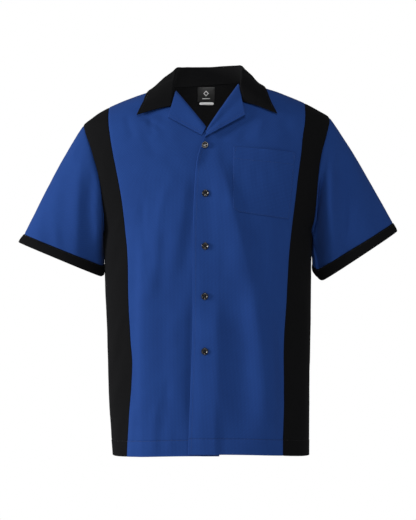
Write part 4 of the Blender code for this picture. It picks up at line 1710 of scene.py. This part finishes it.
@dataclass
class Sleeve(ClothPiece):
    """A short sleeve, from the armhole to the seam of its cuff."""

    side: Side
    columns: int = 112
    length: float = 240.0
    radius: float = 66.0
    step: float = 4.4
    top_swell: float = 4.0
    side_swell: float = 12.0
    ease_puckers: float = 0.5

    def shell(self) -> Shell:
        """The sleeve's cloth, with the ease of its cap and its underarm seam.

        Returns:
            The shell.
        """
        half = self.columns // 2
        front = FORM.point(Face.FRONT, CUT.armhole(self.side, Face.FRONT, half + 1))
        back = FORM.point(Face.BACK, CUT.armhole(self.side, Face.BACK, half + 1))
        start = np.concatenate([front, back[-2:0:-1]])
        turn = 2 * math.pi * np.arange(self.columns) / self.columns
        end = ring_at(SLEEVE_END[self.side], turn)
        shares = stations(self.length, self.step)
        v = shares[:, None, None]
        grid = start[None] * (1 - v) + end[None] * v
        run = unit(end - start)[None]
        out = grid - grid.mean(axis=1, keepdims=True)
        out = unit(out - run * (out * run).sum(axis=-1, keepdims=True))
        hump = np.sin(math.pi * v**0.7)
        swell = self.top_swell * np.maximum(np.cos(turn), 0) + self.side_swell * np.sin(turn) ** 2
        grid = grid + out * swell[None, :, None] * hump
        name = f"sleeve_{self.side.word}"
        ahead = fold_height(name, grid[..., 0], grid[..., 2])
        behind = fold_height(f"{name}_back", grid[..., 0], grid[..., 2])
        ahead_of = out[..., 1] < 0
        creases = np.where(ahead_of, ahead, behind) * np.sqrt(np.abs(out[..., 1]))
        creases = creases * ease(shares * 9)[:, None]
        middle = grid[..., 1].mean(axis=1, keepdims=True)
        old = grid[..., 1].copy()
        moved = old + creases * np.sign(out[..., 1])
        moved = np.where(
            ahead_of, np.minimum(moved, np.maximum(old, middle - 4)),
            np.maximum(moved, np.minimum(old, middle + 4)),
        )
        grid[..., 1] = moved
        down = shares[:, None] * self.length
        around = turn[None] * self.radius
        folds = Ripple(31 if self.side is Side.LEFT else 37, 40).at(around, down) * 0.3
        cap = np.maximum(np.cos(turn), -0.2)[None]
        puckers = np.sin(around / 7.5 * 2 * math.pi / 1.4 + 1.3 * np.sin(around / 23))
        folds = folds + self.ease_puckers * ease(cap + 0.2) * puckers * np.exp(-down / 9)
        folds = folds - 0.7 * bump(down, 1.5) - 0.6 * bump(down - self.length, 1.4)
        under = np.abs(turn - math.pi)[None] * self.radius
        folds = folds - 0.6 * bump(under, 1.6)
        folds = folds + 0.2 * np.sin(down / 10 * 2 * math.pi / 1.3) * np.exp(-under / 9)
        grid = grid + out * folds[..., None]
        low = ease((0.5 - 0.5 * np.cos(turn)) * 1.2 - 0.1)[None, :, None]
        away = np.concatenate(
            [self.side.value * (0.4 + low), np.zeros_like(low), -0.4 * (1 - low)], axis=-1
        )
        grid = grid + away * (0.3 + 1.8 * low**4) * (1 - v) ** 6
        body_out = np.concatenate([FORM.outward(front), FORM.outward(back)[-2:0:-1]])
        allowance = [grid[0] - body_out * d + unit(start - grid[2]) * e
                     for d, e in ((7.0, 2.0), (3.4, 1.6), (1.0, 0.8))]
        grid = np.concatenate([np.array(allowance), grid])
        out = np.concatenate([np.repeat(out[:1], 3, axis=0), out])
        return Shell(name, grid, 1.0, out, tube=True)


@dataclass
class Cuff(ClothPiece):
    """A black band, turned up and sewn round a sleeve's end."""

    side: Side
    columns: int = 112
    radius: float = 68.0
    depth: float = 27.0
    seam: float = 0.6
    wall: float = 1.7

    def shell(self) -> Shell:
        """The band's cloth.

        Returns:
            The shell.
        """
        turn = 2 * math.pi * np.arange(self.columns) / self.columns
        upper = ring_at(SLEEVE_END[self.side], turn, self.seam)
        lower = ring_at(CUFF_END[self.side], turn, self.seam)
        shares = np.array(
            (0.02, 0.05, 0.1, 0.16, 0.24, 0.34, 0.45, 0.56, 0.67, 0.78, 0.87, 0.94, 0.975, 1.0)
        )
        v = shares[:, None, None]
        grid = upper[None] * (1 - v) + lower[None] * v
        out = unit(grid - grid.mean(axis=1, keepdims=True))
        around = turn[None] * self.radius
        swell = 0.9 * np.sin(math.pi * shares)[:, None]
        puckers = 0.22 * np.sin(around / 1.9 + 1.7 * np.sin(around / 29))
        puckers = puckers * bump(shares - 0.1, 0.14)[:, None]
        waves = 0.5 * np.sin(turn * 3 + 0.7)[None] * shares[:, None]
        down, up = shares * self.depth, (1 - shares) * self.depth
        dips = -0.5 * bump(down, 1.1)[:, None] - 0.4 * bump(up, 0.9)[:, None]
        under = np.abs(turn - math.pi)[None] * self.radius
        height = swell + puckers + waves + dips - 0.5 * bump(under, 1.4)
        grid = grid + out * height[..., None]
        return Shell(f"cuff_{self.side.word}", grid, self.wall, out, tube=True, rounding=0.5)

    def sew(self, shell: Shell, book: StitchBook) -> None:
        """Sew its upper edge."""
        line, facing = line_on(shell, 2.2, 0)
        line, facing = np.concatenate([line, line[:1]]), np.concatenate([facing, facing[:1]])
        book.sew(shell.name, Thread.BLACK, line, facing)


def spline(points: Array, shares: Array) -> Array:
    """A smooth curve through points, at shares of its length.

    Args:
        points: the points that it passes through.
        shares: places along it, from 0 to 1.

    Returns:
        The curve's points at those shares, evenly measured.
    """
    ends = np.concatenate([[2 * points[0] - points[1]], points, [2 * points[-1] - points[-2]]])
    gap = np.maximum(np.linalg.norm(np.diff(ends, axis=0), axis=1), 1e-6) ** 0.5
    knot = np.concatenate([[0], np.cumsum(gap)])
    found = []
    for k in range(1, len(ends) - 2):
        t = np.linspace(knot[k], knot[k + 1], 24, endpoint=False)[:, None]
        p, q = ends[k - 1 : k + 3], knot[k - 1 : k + 3]
        a = [(q[i + 1] - t) / (q[i + 1] - q[i]) * p[i] + (t - q[i]) / (q[i + 1] - q[i]) * p[i + 1]
             for i in range(3)]
        b = [(q[i + 2] - t) / (q[i + 2] - q[i]) * a[i] + (t - q[i]) / (q[i + 2] - q[i]) * a[i + 1]
             for i in range(2)]
        found.append((q[2] - t) / (q[2] - q[1]) * b[0] + (t - q[1]) / (q[2] - q[1]) * b[1])
    curve = np.concatenate([*found, points[-1:]])
    run = along(curve, 0)
    at = np.asarray(shares) * run[-1]
    return read_along(at, run, curve)


@dataclass
class Lapel(ClothPiece):
    """The turned-out top of a front's facing."""

    cut: LapelCut
    roll: float = 3.2
    wall: float = 1.5

    def shell(self) -> Shell:
        """The lapel's cloth, from the roll line to its free edge.

        Returns:
            The shell.
        """
        shares = stations(60, 2.0)
        lines = []
        for s in stations(80, 2.0):
            root = np.array(self.cut.top) * (1 - s) + np.array(self.cut.foot) * s
            rim = np.array(self.cut.tip) * (1 - s) + np.array(self.cut.end) * s
            wide = float(np.linalg.norm(rim - root))
            run = (rim - root) / wide
            r = min(self.roll, 0.14 * wide + 0.5)
            lift = self.cut.edge_lift
            profile = np.array(
                (
                    (-0.9, 0.1), (-1.2 - 0.8 * r, r), (-0.5, 2 * r + 0.3),
                    (0.2 * wide, 2 * r + 0.7), (0.45 * wide, 1.2 * r + 2.2),
                    (0.75 * wide, 0.5 * r + 0.8 * lift), (wide, lift),
                )
            )
            line = spline(profile, shares)
            x = root[0] + run[0] * line[:, 0]
            z = root[1] + run[1] * line[:, 0]
            base = FORM.point(Face.FRONT, paired(FORM.wrap_of_x(x, z), z))
            out = line[:, 1] + lap(self.cut.side, x)
            lines.append(base + FORM.outward(base) * out[:, None])
        grid = np.array(lines)
        facing = np.zeros_like(grid)
        facing[:, grid.shape[1] // 2 :] = (0, -1, 0)
        return Shell(f"facing_{self.cut.side.word}", grid, self.wall, facing, rounding=0.5)

    def sew(self, shell: Shell, book: StitchBook) -> None:
        """Sew along its free edge."""
        line, facing = line_on(shell, -5.0, 1)
        book.sew(shell.name, Thread.BLUE, line[3:-6], facing[3:-6])


@dataclass
class Collar(ClothPiece):
    """The one-piece camp collar: it stands a little, rolls over and lies down."""

    wall: float = 1.7
    steps: int = 190

    def _seam(self, station: CollarStation) -> Array:
        """Where the collar starts at a station, on the side that shows.

        Args:
            station: a place round the neck.

        Returns:
            A point, in mm.
        """
        side = Side.LEFT if station.roll_at[0] < 0 else Side.RIGHT
        if station.sewn > 0:
            row = LAPELS[0] if side is Side.LEFT else LAPELS[1]
            x = row.top[0] + (row.tip[0] - row.top[0]) * station.sewn + side.value * 2.2
            z = row.top[1] + (row.tip[1] - row.top[1]) * station.sewn + 1.0
            place = np.array((float(FORM.wrap_of_x(np.array(x), np.array(z))), z))
            base = FORM.point(Face.FRONT, place)
            return base + FORM.outward(base) * (self.wall + 1.0 + 2.4 * station.sewn)
        degrees = station.angle
        if side is Side.RIGHT and degrees <= -90:
            degrees = -180 - degrees
        degrees = max(min(degrees, 69), -90)
        face = Face.FRONT if degrees >= 0 else Face.BACK
        place = np.array((side.value * (1 - abs(degrees) / 90), float(FORM.neck[side](degrees))))
        base = FORM.point(face, place)
        inward = unit(-base * np.array((1, 1, 0)))
        return base + inward * (self.wall + 0.8) + np.array((0, 0, 0.9))

    def shell(self) -> Shell:
        """The collar's cloth, from the neck seam over the roll to its edge.

        Returns:
            The shell.
        """
        place = np.arange(len(COLLAR))
        at = np.linspace(0, len(COLLAR) - 1, self.steps + 1)
        at = np.sort(np.unique(np.concatenate([at, [0.012, 0.03, 11.97, 11.988]])))

        def read(values: Sequence[Sequence[float]]) -> Array:
            """Smooth curves through one value of each station.

            Args:
                values: a row for each station.

            Returns:
                The values all along.
            """
            table = np.asarray(values, float)
            return np.stack(
                [SmoothTable(place, table[:, k])(at) for k in range(table.shape[1])], axis=-1
            )

        seam = read([self._seam(s) for s in COLLAR])
        roll = read([s.roll_at for s in COLLAR])
        edge = read([s.edge_at for s in COLLAR])
        r = read([(s.roll,) for s in COLLAR])
        level, up = np.array((1.0, 1.0, 0.0)), np.array((0.0, 0.0, 1.0))
        out = unit((edge - roll) * level)
        stands = ease((np.linalg.norm(roll - seam, axis=-1, keepdims=True) - 2.5 * r) / (3 * r))
        low = stands[:, 0] < 1
        roll[low] = FORM.cleared(roll[low], self.wall + 2.0)
        inner = roll - out * r - up * 1.1 * r
        inner = inner * stands + (seam * 0.4 + roll * 0.6) * (1 - stands)
        outer = FORM.cleared(roll + out * 1.2 * r - up * 1.1 * r * stands, self.wall + 2.1)
        bulge = out * 0.55 * r + up * 0.55 * r
        lines = np.stack(
            [
                seam, seam * 0.45 + inner * 0.55, inner, roll, outer,
                FORM.cleared(outer * 0.67 + edge * 0.33 + bulge, 5.0),
                FORM.cleared(outer * 0.33 + edge * 0.67 + bulge * 0.7, 4.1),
                FORM.cleared(edge, 3.3),
            ],
            axis=1,
        )
        shares = stations(95, 2.4, (89.5,))
        grid = np.array([spline(line, shares) for line in lines])
        fall = slice(len(shares) // 2, None)
        grid[:, fall] = FORM.cleared(grid[:, fall], self.wall + 1.5)
        facing = np.zeros_like(grid)
        facing[:, fall] = unit(grid[:, fall] * np.array((1, 1, 0)))
        facing[:, fall, 2] = 0.5
        shell = Shell("collar", grid, self.wall, facing, rounding=0.5)
        from_edge = along(grid, 1)[:, -1:] - along(grid, 1)
        height = -0.25 * bump(from_edge - 5.5, 0.9) - 0.3 * bump(from_edge, 0.8)
        height += Ripple(41, 38).at(along(grid, 0), from_edge) * 0.22
        shell.grid = grid + shell.normals * height[..., None]
        return shell

    def sew(self, shell: Shell, book: StitchBook) -> None:
        """Sew along its free edge."""
        line, facing = line_on(shell, -5.5, 1)
        book.sew(shell.name, Thread.BLACK, line[8:-8], facing[8:-8])


@dataclass
class Pocket(ClothPiece):
    """The patch pocket on the right-hand front, open at its top."""

    top: tuple[float, float, float, float] = (49.4, -124.0, 171.0, -134.7)
    foot: tuple[float, float, float, float] = (49.0, -250.0, 158.0, -264.7)
    mitre_share: float = 0.11
    mitre: float = 7.0
    width: float = 115.0
    depth: float = 132.0
    wall: float = 0.9
    gape: float = 2.5
    hem: float = 24.0
    seam: float = 1.6

    def shell(self) -> Shell:
        """The pocket's cloth, moved out from the front that it lies on.

        Returns:
            The shell.
        """
        us = stations(self.width, 3.4, (self.seam, self.width - self.seam))
        vs = stations(self.depth, 3.4, (self.hem, self.depth - self.seam))
        u, v = np.meshgrid(us, vs)
        x1, z1, x2, z2 = self.top
        x3, z3, x4, z4 = self.foot
        cut = self.mitre * np.maximum(1 - u / self.mitre_share, 0)
        x = (x1 + (x2 - x1) * u) * (1 - v) + (x3 + (x4 - x3) * u) * v
        z = (z1 + (z2 - z1) * u) * (1 - v) + (z3 + (z4 - z3) * u + cut) * v
        places = paired(FORM.wrap_of_x(x, z), z)
        base = skin("front_right", Face.FRONT, places, Side.RIGHT)
        facing = FORM.outward(base)
        open_edge = self.gape * (1 - v) ** 5 * np.sin(math.pi * u**1.4) ** 2
        height = self.wall + 0.55 + open_edge
        across, down = u * self.width, v * self.depth
        away = np.minimum(across, (1 - u) * self.width)
        low = (1 - v) * self.depth
        height -= 0.4 * bump(away, 0.8) + 0.4 * bump(low, 0.8)
        height -= 0.22 * bump(away - self.seam, 0.7) + 0.22 * bump(low - self.seam, 0.7)
        height -= 0.25 * bump(down - self.hem, 0.8)
        height += 0.25 * ease((self.hem + 0.6 - down) / 1.2)
        height += Ripple(53, 34).at(across, down) * 0.3 * ease(np.minimum(away, low) / 12)
        height += 0.16 * np.sin(z / 1.75) * np.exp(-away / 6)
        return Shell("pocket", base + facing * height[..., None], self.wall, facing)

    def sew(self, shell: Shell, book: StitchBook) -> None:
        """Sew its sides and foot, its hem, and a small triangle at each top corner.

        Args:
            shell: its cloth.
            book: what gathers stitches.
        """
        for distance, axis in ((self.seam, 1), (-self.seam, 1), (-self.seam, 0)):
            line, facing = line_on(shell, distance, axis)
            book.sew(shell.name, Thread.BLUE, line[1:-1], facing[1:-1])
        line, facing = line_on(shell, self.hem, 0)
        book.sew(shell.name, Thread.BLUE, line[2:-2], facing[2:-2])
        rows, columns = shell.grid.shape[:2]
        near = np.argmin(np.abs(along(shell.grid, 1)[0] - 9.0))
        deep = np.argmin(np.abs(along(shell.grid, 0)[:, 0] - 13.0))
        for a, b in (((1, near), (deep, 5)), ((1, columns - 1 - near), (deep, columns - 6))):
            ends = np.array((shell.grid[a], shell.grid[b]))
            facing = np.array((shell.normals[a], shell.normals[b]))
            t = np.linspace(0, 1, 12)[:, None]
            line = ends[0] * (1 - t) + ends[1] * t
            book.sew(shell.name, Thread.BLUE, line + facing[0] * 0.15, np.repeat(facing[:1], 12, 0))


@dataclass
class NeckTape:
    """A woven piece inside the back of the neck."""

    name: str
    middle_x: float
    top: float
    width: float
    height: float
    inside: float
    wall: float = 0.5
    round_ends: float = 0.0

    def point(self, u: Array, v: Array, lift: float = 0.0) -> Array:
        """Points of the tape at shares of its width and height.

        Args:
            u: shares across.
            v: shares down.
            lift: how far it stands in from the tape.

        Returns:
            The points, in mm.
        """
        z = self.top + float(FORM.neck[Side.RIGHT](-90)) - self.height * v
        x = self.middle_x + self.width * (u - 0.5)
        places = paired(FORM.wrap_of_x(x, z), z)
        base = skin("back", Face.BACK, places)
        facing = FORM.outward(base)
        sag = 0.5 * np.sin(math.pi * v) * np.sin(math.pi * u)
        return base - facing * (self.inside + lift + sag)[..., None]

    def shell(self) -> Shell:
        """The tape's cloth.

        Returns:
            The shell.
        """
        u, v = np.meshgrid(stations(self.width, 1.6), stations(self.height, 1.6))
        if self.round_ends:
            end = np.sqrt(np.maximum(1 - (2 * v - 1) ** 2, 0)) * self.round_ends
            short = (self.round_ends - end) / self.width
            u = short + u * (1 - 2 * short)
        grid = self.point(u, v)
        facing = np.broadcast_to(np.array((0.0, -1.0, 0.0)), grid.shape)
        return Shell(self.name, grid, self.wall, facing, rounding=0.5)

    def figure(self, outline: Array, name: str) -> Shell:
        """A raised woven figure on the tape: a ring of pairs of (u, v) places."""
        grid = self.point(outline[..., 0], outline[..., 1], 0.12)
        facing = np.broadcast_to(np.array((0.0, -1.0, 0.0)), grid.shape)
        return Shell(name, grid, 0.2, facing)


@dataclass
class ButtonMould:
    """A four-hole shirt button with a raised rim."""

    diameter: float = 13.6
    thick: float = 2.6
    hole: float = 1.7
    circle: float = 3.6

    def mesh(self, finish: Material) -> bpy.types.Mesh:
        """Turn the button and drill its four holes.

        Args:
            finish: its material.

        Returns:
            The mesh.
        """
        r, t = self.diameter / 2, self.thick
        profile = np.array(
            ((0.02, 0.52 * t), (0.30 * r, 0.52 * t), (0.50 * r, 0.54 * t), (0.60 * r, 0.66 * t),
             (0.66 * r, 0.84 * t), (0.74 * r, 0.96 * t), (0.82 * r, t), (0.9 * r, 0.97 * t),
             (0.96 * r, 0.84 * t), (r, 0.56 * t), (0.97 * r, 0.32 * t), (0.9 * r, 0.12 * t),
             (0.76 * r, 0.0), (0.02, 0.0))
        )
        steps = 56
        turn = np.linspace(0, 2 * math.pi, steps, endpoint=False)
        ring = np.stack([np.cos(turn), np.sin(turn), np.zeros(steps)], axis=-1)
        points = profile[:, None, 0, None] * ring[None]
        points = points + np.array((0, 0, 1.0)) * profile[:, None, 1, None]
        number = np.arange(points.shape[0] * steps).reshape(-1, steps)
        beside = np.roll(number, -1, axis=1)
        quads = np.stack([number[:-1], number[1:], beside[1:], beside[:-1]], axis=-1).reshape(-1, 4)
        faces = [*quads, number[0], number[-1][::-1]]
        blank = mesh_object("button_blank", points.reshape(-1, 3), faces, finish)
        bm = bmesh.new()
        bm.from_mesh(blank.data)
        bmesh.ops.recalc_face_normals(bm, faces=bm.faces[:])
        bm.to_mesh(blank.data)
        bm.free()
        bm, drilled = bmesh.new(), self.hole / 2 * MM
        for k in range(4):
            angle = math.pi / 2 * k + math.pi / 4
            place = Vector((math.cos(angle), math.sin(angle), 0)) * self.circle / 2 * MM
            bmesh.ops.create_cone(
                bm, cap_ends=True, segments=20, radius1=drilled, radius2=drilled,
                depth=3 * self.thick * MM, matrix=Matrix.Translation(place),
            )
        drill_mesh = bpy.data.meshes.new("button_drill")
        bm.to_mesh(drill_mesh)
        bm.free()
        drill = placed("button_drill", drill_mesh)
        cut = blank.modifiers.new("holes", "BOOLEAN")
        cut.operation, cut.object = "DIFFERENCE", drill
        bpy.context.view_layer.update()
        seen = blank.evaluated_get(bpy.context.evaluated_depsgraph_get())
        made = bpy.data.meshes.new_from_object(seen)
        made.name = "button"
        made.materials.clear()
        made.materials.append(finish)
        made.shade_smooth()
        made.set_sharp_from_angle(angle=math.radians(40))
        for item in (blank, drill):
            bpy.data.objects.remove(item)
        return made


@dataclass
class Buttons:
    """Five buttons down the lapping front, sewn on over vertical buttonholes."""

    places: tuple[ButtonPlace, ...] = BUTTONS
    seat: float = 0.55
    hole_length: float = 17.0

    def _frame(self, place: ButtonPlace) -> tuple[Array, Array]:
        """Where a button sits, and which way it faces."""
        at = np.array((float(FORM.wrap_of_x(np.array(place.x), np.array(place.z))), place.z))
        point = skin("front_right", Face.FRONT, at, Side.RIGHT)
        facing = FORM.outward(point)
        return point + facing * self.seat, facing

    def build(self, wardrobe: Wardrobe, book: StitchBook) -> None:
        """Make the buttons, their threads and their buttonholes.

        Args:
            wardrobe: the finishes.
            book: what gathers stitches.
        """
        mould = ButtonMould()
        mesh = mould.mesh(wardrobe.resin)
        for number, place in enumerate(self.places, 1):
            point, facing = self._frame(place)
            made = placed(f"button_{number}_resin", mesh)
            turn = Vector(facing).to_track_quat("Z", "Y").to_matrix().to_4x4()
            made.matrix_world = (
                Matrix.Translation(Vector(point) * MM) @ turn @ Matrix.Rotation(place.turn, 4, "Z")
            )
            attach(made, BODY_NAME)
            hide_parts(f"button_{number}")
            self._thread(number, made, mould, wardrobe)
            self._hole(place, book)

    def _thread(self, number: int, button: Object, mould: ButtonMould, wardrobe: Wardrobe) -> None:
        """Two bars of thread through the holes of a button.

        Args:
            number: which button.
            button: its object.
            mould: its sizes.
            wardrobe: the finishes.
        """
        points, faces = [], []
        reach, top = mould.circle / 2 * math.sin(math.pi / 4), 0.54 * mould.thick
        for y in (-reach, reach):
            for strand in (-0.25, 0.25):
                bow = [(-reach - 0.15, 0.1), (-reach, top + 0.12), (0, top + 0.36),
                       (reach, top + 0.12), (reach + 0.15, 0.1)]
                start = len(points)
                for x, z in bow:
                    for k in range(6):
                        a = math.pi / 3 * k
                        points.append((x, y + strand + 0.24 * math.cos(a), z + 0.24 * math.sin(a)))
                for i in range(len(bow) - 1):
                    for k in range(6):
                        j = (k + 1) % 6
                        a, b = start + i * 6, start + (i + 1) * 6
                        faces.append((a + k, a + j, b + j, b + k))
                faces.append([start + k for k in range(5, -1, -1)])
                faces.append([start + (len(bow) - 1) * 6 + k for k in range(6)])
        finish = wardrobe.threads[Thread.BLACK]
        made = mesh_object(f"button_{number}_thread", np.array(points), faces, finish)
        made.matrix_world = button.matrix_world
        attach(made, BODY_NAME)

    def _hole(self, place: ButtonPlace, book: StitchBook) -> None:
        """The two whipped sides of a buttonhole, behind its button.

        Args:
            place: the button.
            book: what gathers stitches.
        """
        z = place.z + np.arange(-self.hole_length / 2, self.hole_length / 2, 0.55)
        for shift in (-0.95, 0.95):
            for height in z:
                x = place.x + np.linspace(shift - 0.8, shift + 0.8, 4)
                at = paired(FORM.wrap_of_x(x, np.full(4, height)), np.full(4, height))
                line = skin("front_right", Face.FRONT, at, Side.RIGHT)
                facing = FORM.outward(line)
                book.sew("front_right", Thread.BLUE, line, facing, StitchRow(1.55, 1.5, 0.26))


# ---- putting it together


@dataclass(frozen=True)
class FlatCut:
    """The cut of a piece laid flat, in metres: a rectangle round it, and its own area."""

    slot: Slot
    width: float
    length: float
    area: float
    held: str = "draped"


class Shirt:
    """The whole shirt: its cloth, its stitches and its buttons."""

    def __init__(self, wardrobe: Wardrobe) -> None:
        """Start a shirt in the given finishes."""
        self.wardrobe = wardrobe
        self.book = StitchBook()

    def cloth(self, shell: Shell, finish: Material) -> Object:
        """Make a sheet of cloth that stands for its node.

        Args:
            shell: the piece.
            finish: its material.

        Returns:
            The cloth's object.
        """
        made = shell.build(finish)
        made.name = f"{shell.name}_cloth"
        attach(made, BODY_NAME)
        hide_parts(shell.name)
        LOG.info("%s: %d faces", shell.name, len(made.data.polygons))
        return made

    def build(self) -> None:
        """Make every piece in the order that it is sewn."""
        blue, black = self.wardrobe.blue, self.wardrobe.black
        for side in Side:
            self.piece(FrontPanel(side), blue)
            self.piece(SidePanel(side), black)
            self.piece(Sleeve(side), blue)
            self.piece(Cuff(side), black)
        self.piece(BackPanel(), black)
        for cut in LAPELS:
            self.piece(Lapel(cut), blue)
        self.piece(Collar(), black)
        self.piece(Pocket(), blue)
        self._labels()
        Buttons().build(self.wardrobe, self.book)
        self.book.build(self.wardrobe)

    def piece(self, maker: ClothPiece, finish: Material) -> None:
        """Make a piece's cloth and gather its stitches.

        Args:
            maker: the piece.
            finish: its material.
        """
        shell = maker.shell()
        self.cloth(shell, finish)
        maker.sew(shell, self.book)

    def _labels(self) -> None:
        """The neck label with its woven figure, and the size tab under it."""
        label = NeckTape("neck_label", -3.0, -2.0, 35.0, 28.0, 3.7)
        shell = NeckTape("size_tab", -2.0, -31.0, 29.0, 5.0, 3.9, round_ends=2.4).shell()
        tab = shell.build(self.wardrobe.tape)
        tab.name = "size_tab_cloth"
        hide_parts("size_tab")
        turn = np.linspace(0, 2 * math.pi, 5)
        diamond = paired(np.cos(turn), np.sin(turn))
        t = np.linspace(0, 4, 33)
        edge = read_along(t, np.arange(5), diamond)
        centre, size = np.array((0.5, 0.42)), np.array((5.4 / 35.0, 5.4 / 28.0))
        ring = np.stack([centre + edge * size * s for s in (1.0, 0.82, 0.66)])
        u, v = np.meshgrid(np.linspace(0.28, 0.72, 12), np.linspace(0.76, 0.80, 3))
        figures = [
            label.figure(places, f"neck_label_{name}").build(self.wardrobe.emblem)
            for name, places in (("ring", ring), ("bar", paired(u, v)))
        ]
        for made, slot in ((tab, Slot.TAPE), *((f, Slot.LABEL) for f in figures)):
            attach(made, BODY_NAME)
        self.cloth(label.shell(), self.wardrobe.label)


@dataclass(frozen=True)
class SoftBox:
    """A square lamp: its middle, its size and its aim in metres, its power in watts."""

    name: str
    place: tuple[float, float, float]
    size: float
    power: float
    aim: tuple[float, float, float] = (0, 0, -0.35)


SOFT_BOXES: tuple[SoftBox, ...] = (
    SoftBox("key", (-3.3, -1.05, 0.2), 0.85, 98),
    SoftBox("front", (0.1, -3.6, 2.1), 1.5, 53),
    SoftBox("fill", (2.9, -1.6, 0.3), 1.3, 13),
    SoftBox("neck", (0.0, -0.05, -0.06), 0.1, 0.11, (0, 0.2, -0.06)),
)


@dataclass
class Studio:
    """The floor, the light and the camera."""

    distance: float = 3.4
    centre: tuple[float, float] = (0.001, -0.344)
    height: float = 1.04
    floor_z: float = -1.3

    def floor(self, finish: Material) -> None:
        """A plain pale floor under the shirt."""
        bm = bmesh.new()
        bmesh.ops.create_grid(bm, x_segments=8, y_segments=8, size=2.2)
        mesh = bpy.data.meshes.new("studio_floor")
        bm.to_mesh(mesh)
        bm.free()
        mesh.materials.append(finish)
        made = placed("studio_floor", mesh)
        made.location = (0, 0, self.floor_z)

    def light(self) -> None:
        """A key from the left, a high front box, a weak fill, a small one in the neck, and white."""
        for box in SOFT_BOXES:
            light = bpy.data.lights.new(box.name, "AREA")
            light.shape, light.size, light.energy = "SQUARE", box.size, box.power
            made = placed(box.name, light)
            made.location = box.place
            made.visible_camera = False
            way = Vector(box.aim) - Vector(box.place)
            made.rotation_euler = way.to_track_quat("-Z", "Y").to_euler()
        tree = Tree(bpy.data.worlds.new("white_surround"))
        bpy.context.scene.world = tree.owner
        tree.nodes.clear()
        seen = tree.add("Background", color=(1, 1, 1, 1))
        around = tree.add("Background", color=(0.62, 0.64, 0.68, 1), strength=0.23)
        direct = tree.add("LightPath").outputs["Is Camera Ray"]
        mix = tree.add("MixShader", fac=direct, i1=around.outputs[0], i2=seen.outputs[0])
        tree.add("OutputWorld", surface=mix.outputs[0])
        bpy.context.scene.view_settings.view_transform = "Standard"

    def camera(self) -> None:
        """A level camera straight in front of the shirt."""
        lens = bpy.data.cameras.new("camera")
        lens.sensor_fit, lens.sensor_height = "VERTICAL", 24.0
        lens.lens = 24.0 / self.height * self.distance
        lens.clip_end = 50
        made = placed("camera", lens)
        made.location = (self.centre[0], -self.distance, self.centre[1])
        made.rotation_euler = (math.pi / 2, 0, 0)
        bpy.context.scene.camera = made


def main() -> None:
    """Build the studio and the shirt, and log each piece's face count."""
    logging.basicConfig(level=logging.INFO, format="%(message)s")
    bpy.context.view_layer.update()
    wardrobe = Wardrobe()
    studio = Studio()
    studio.camera()
    studio.light()
    studio.floor(StudioFloor().make())
    Shirt(wardrobe).build()


if __name__ == "__main__":
    main()
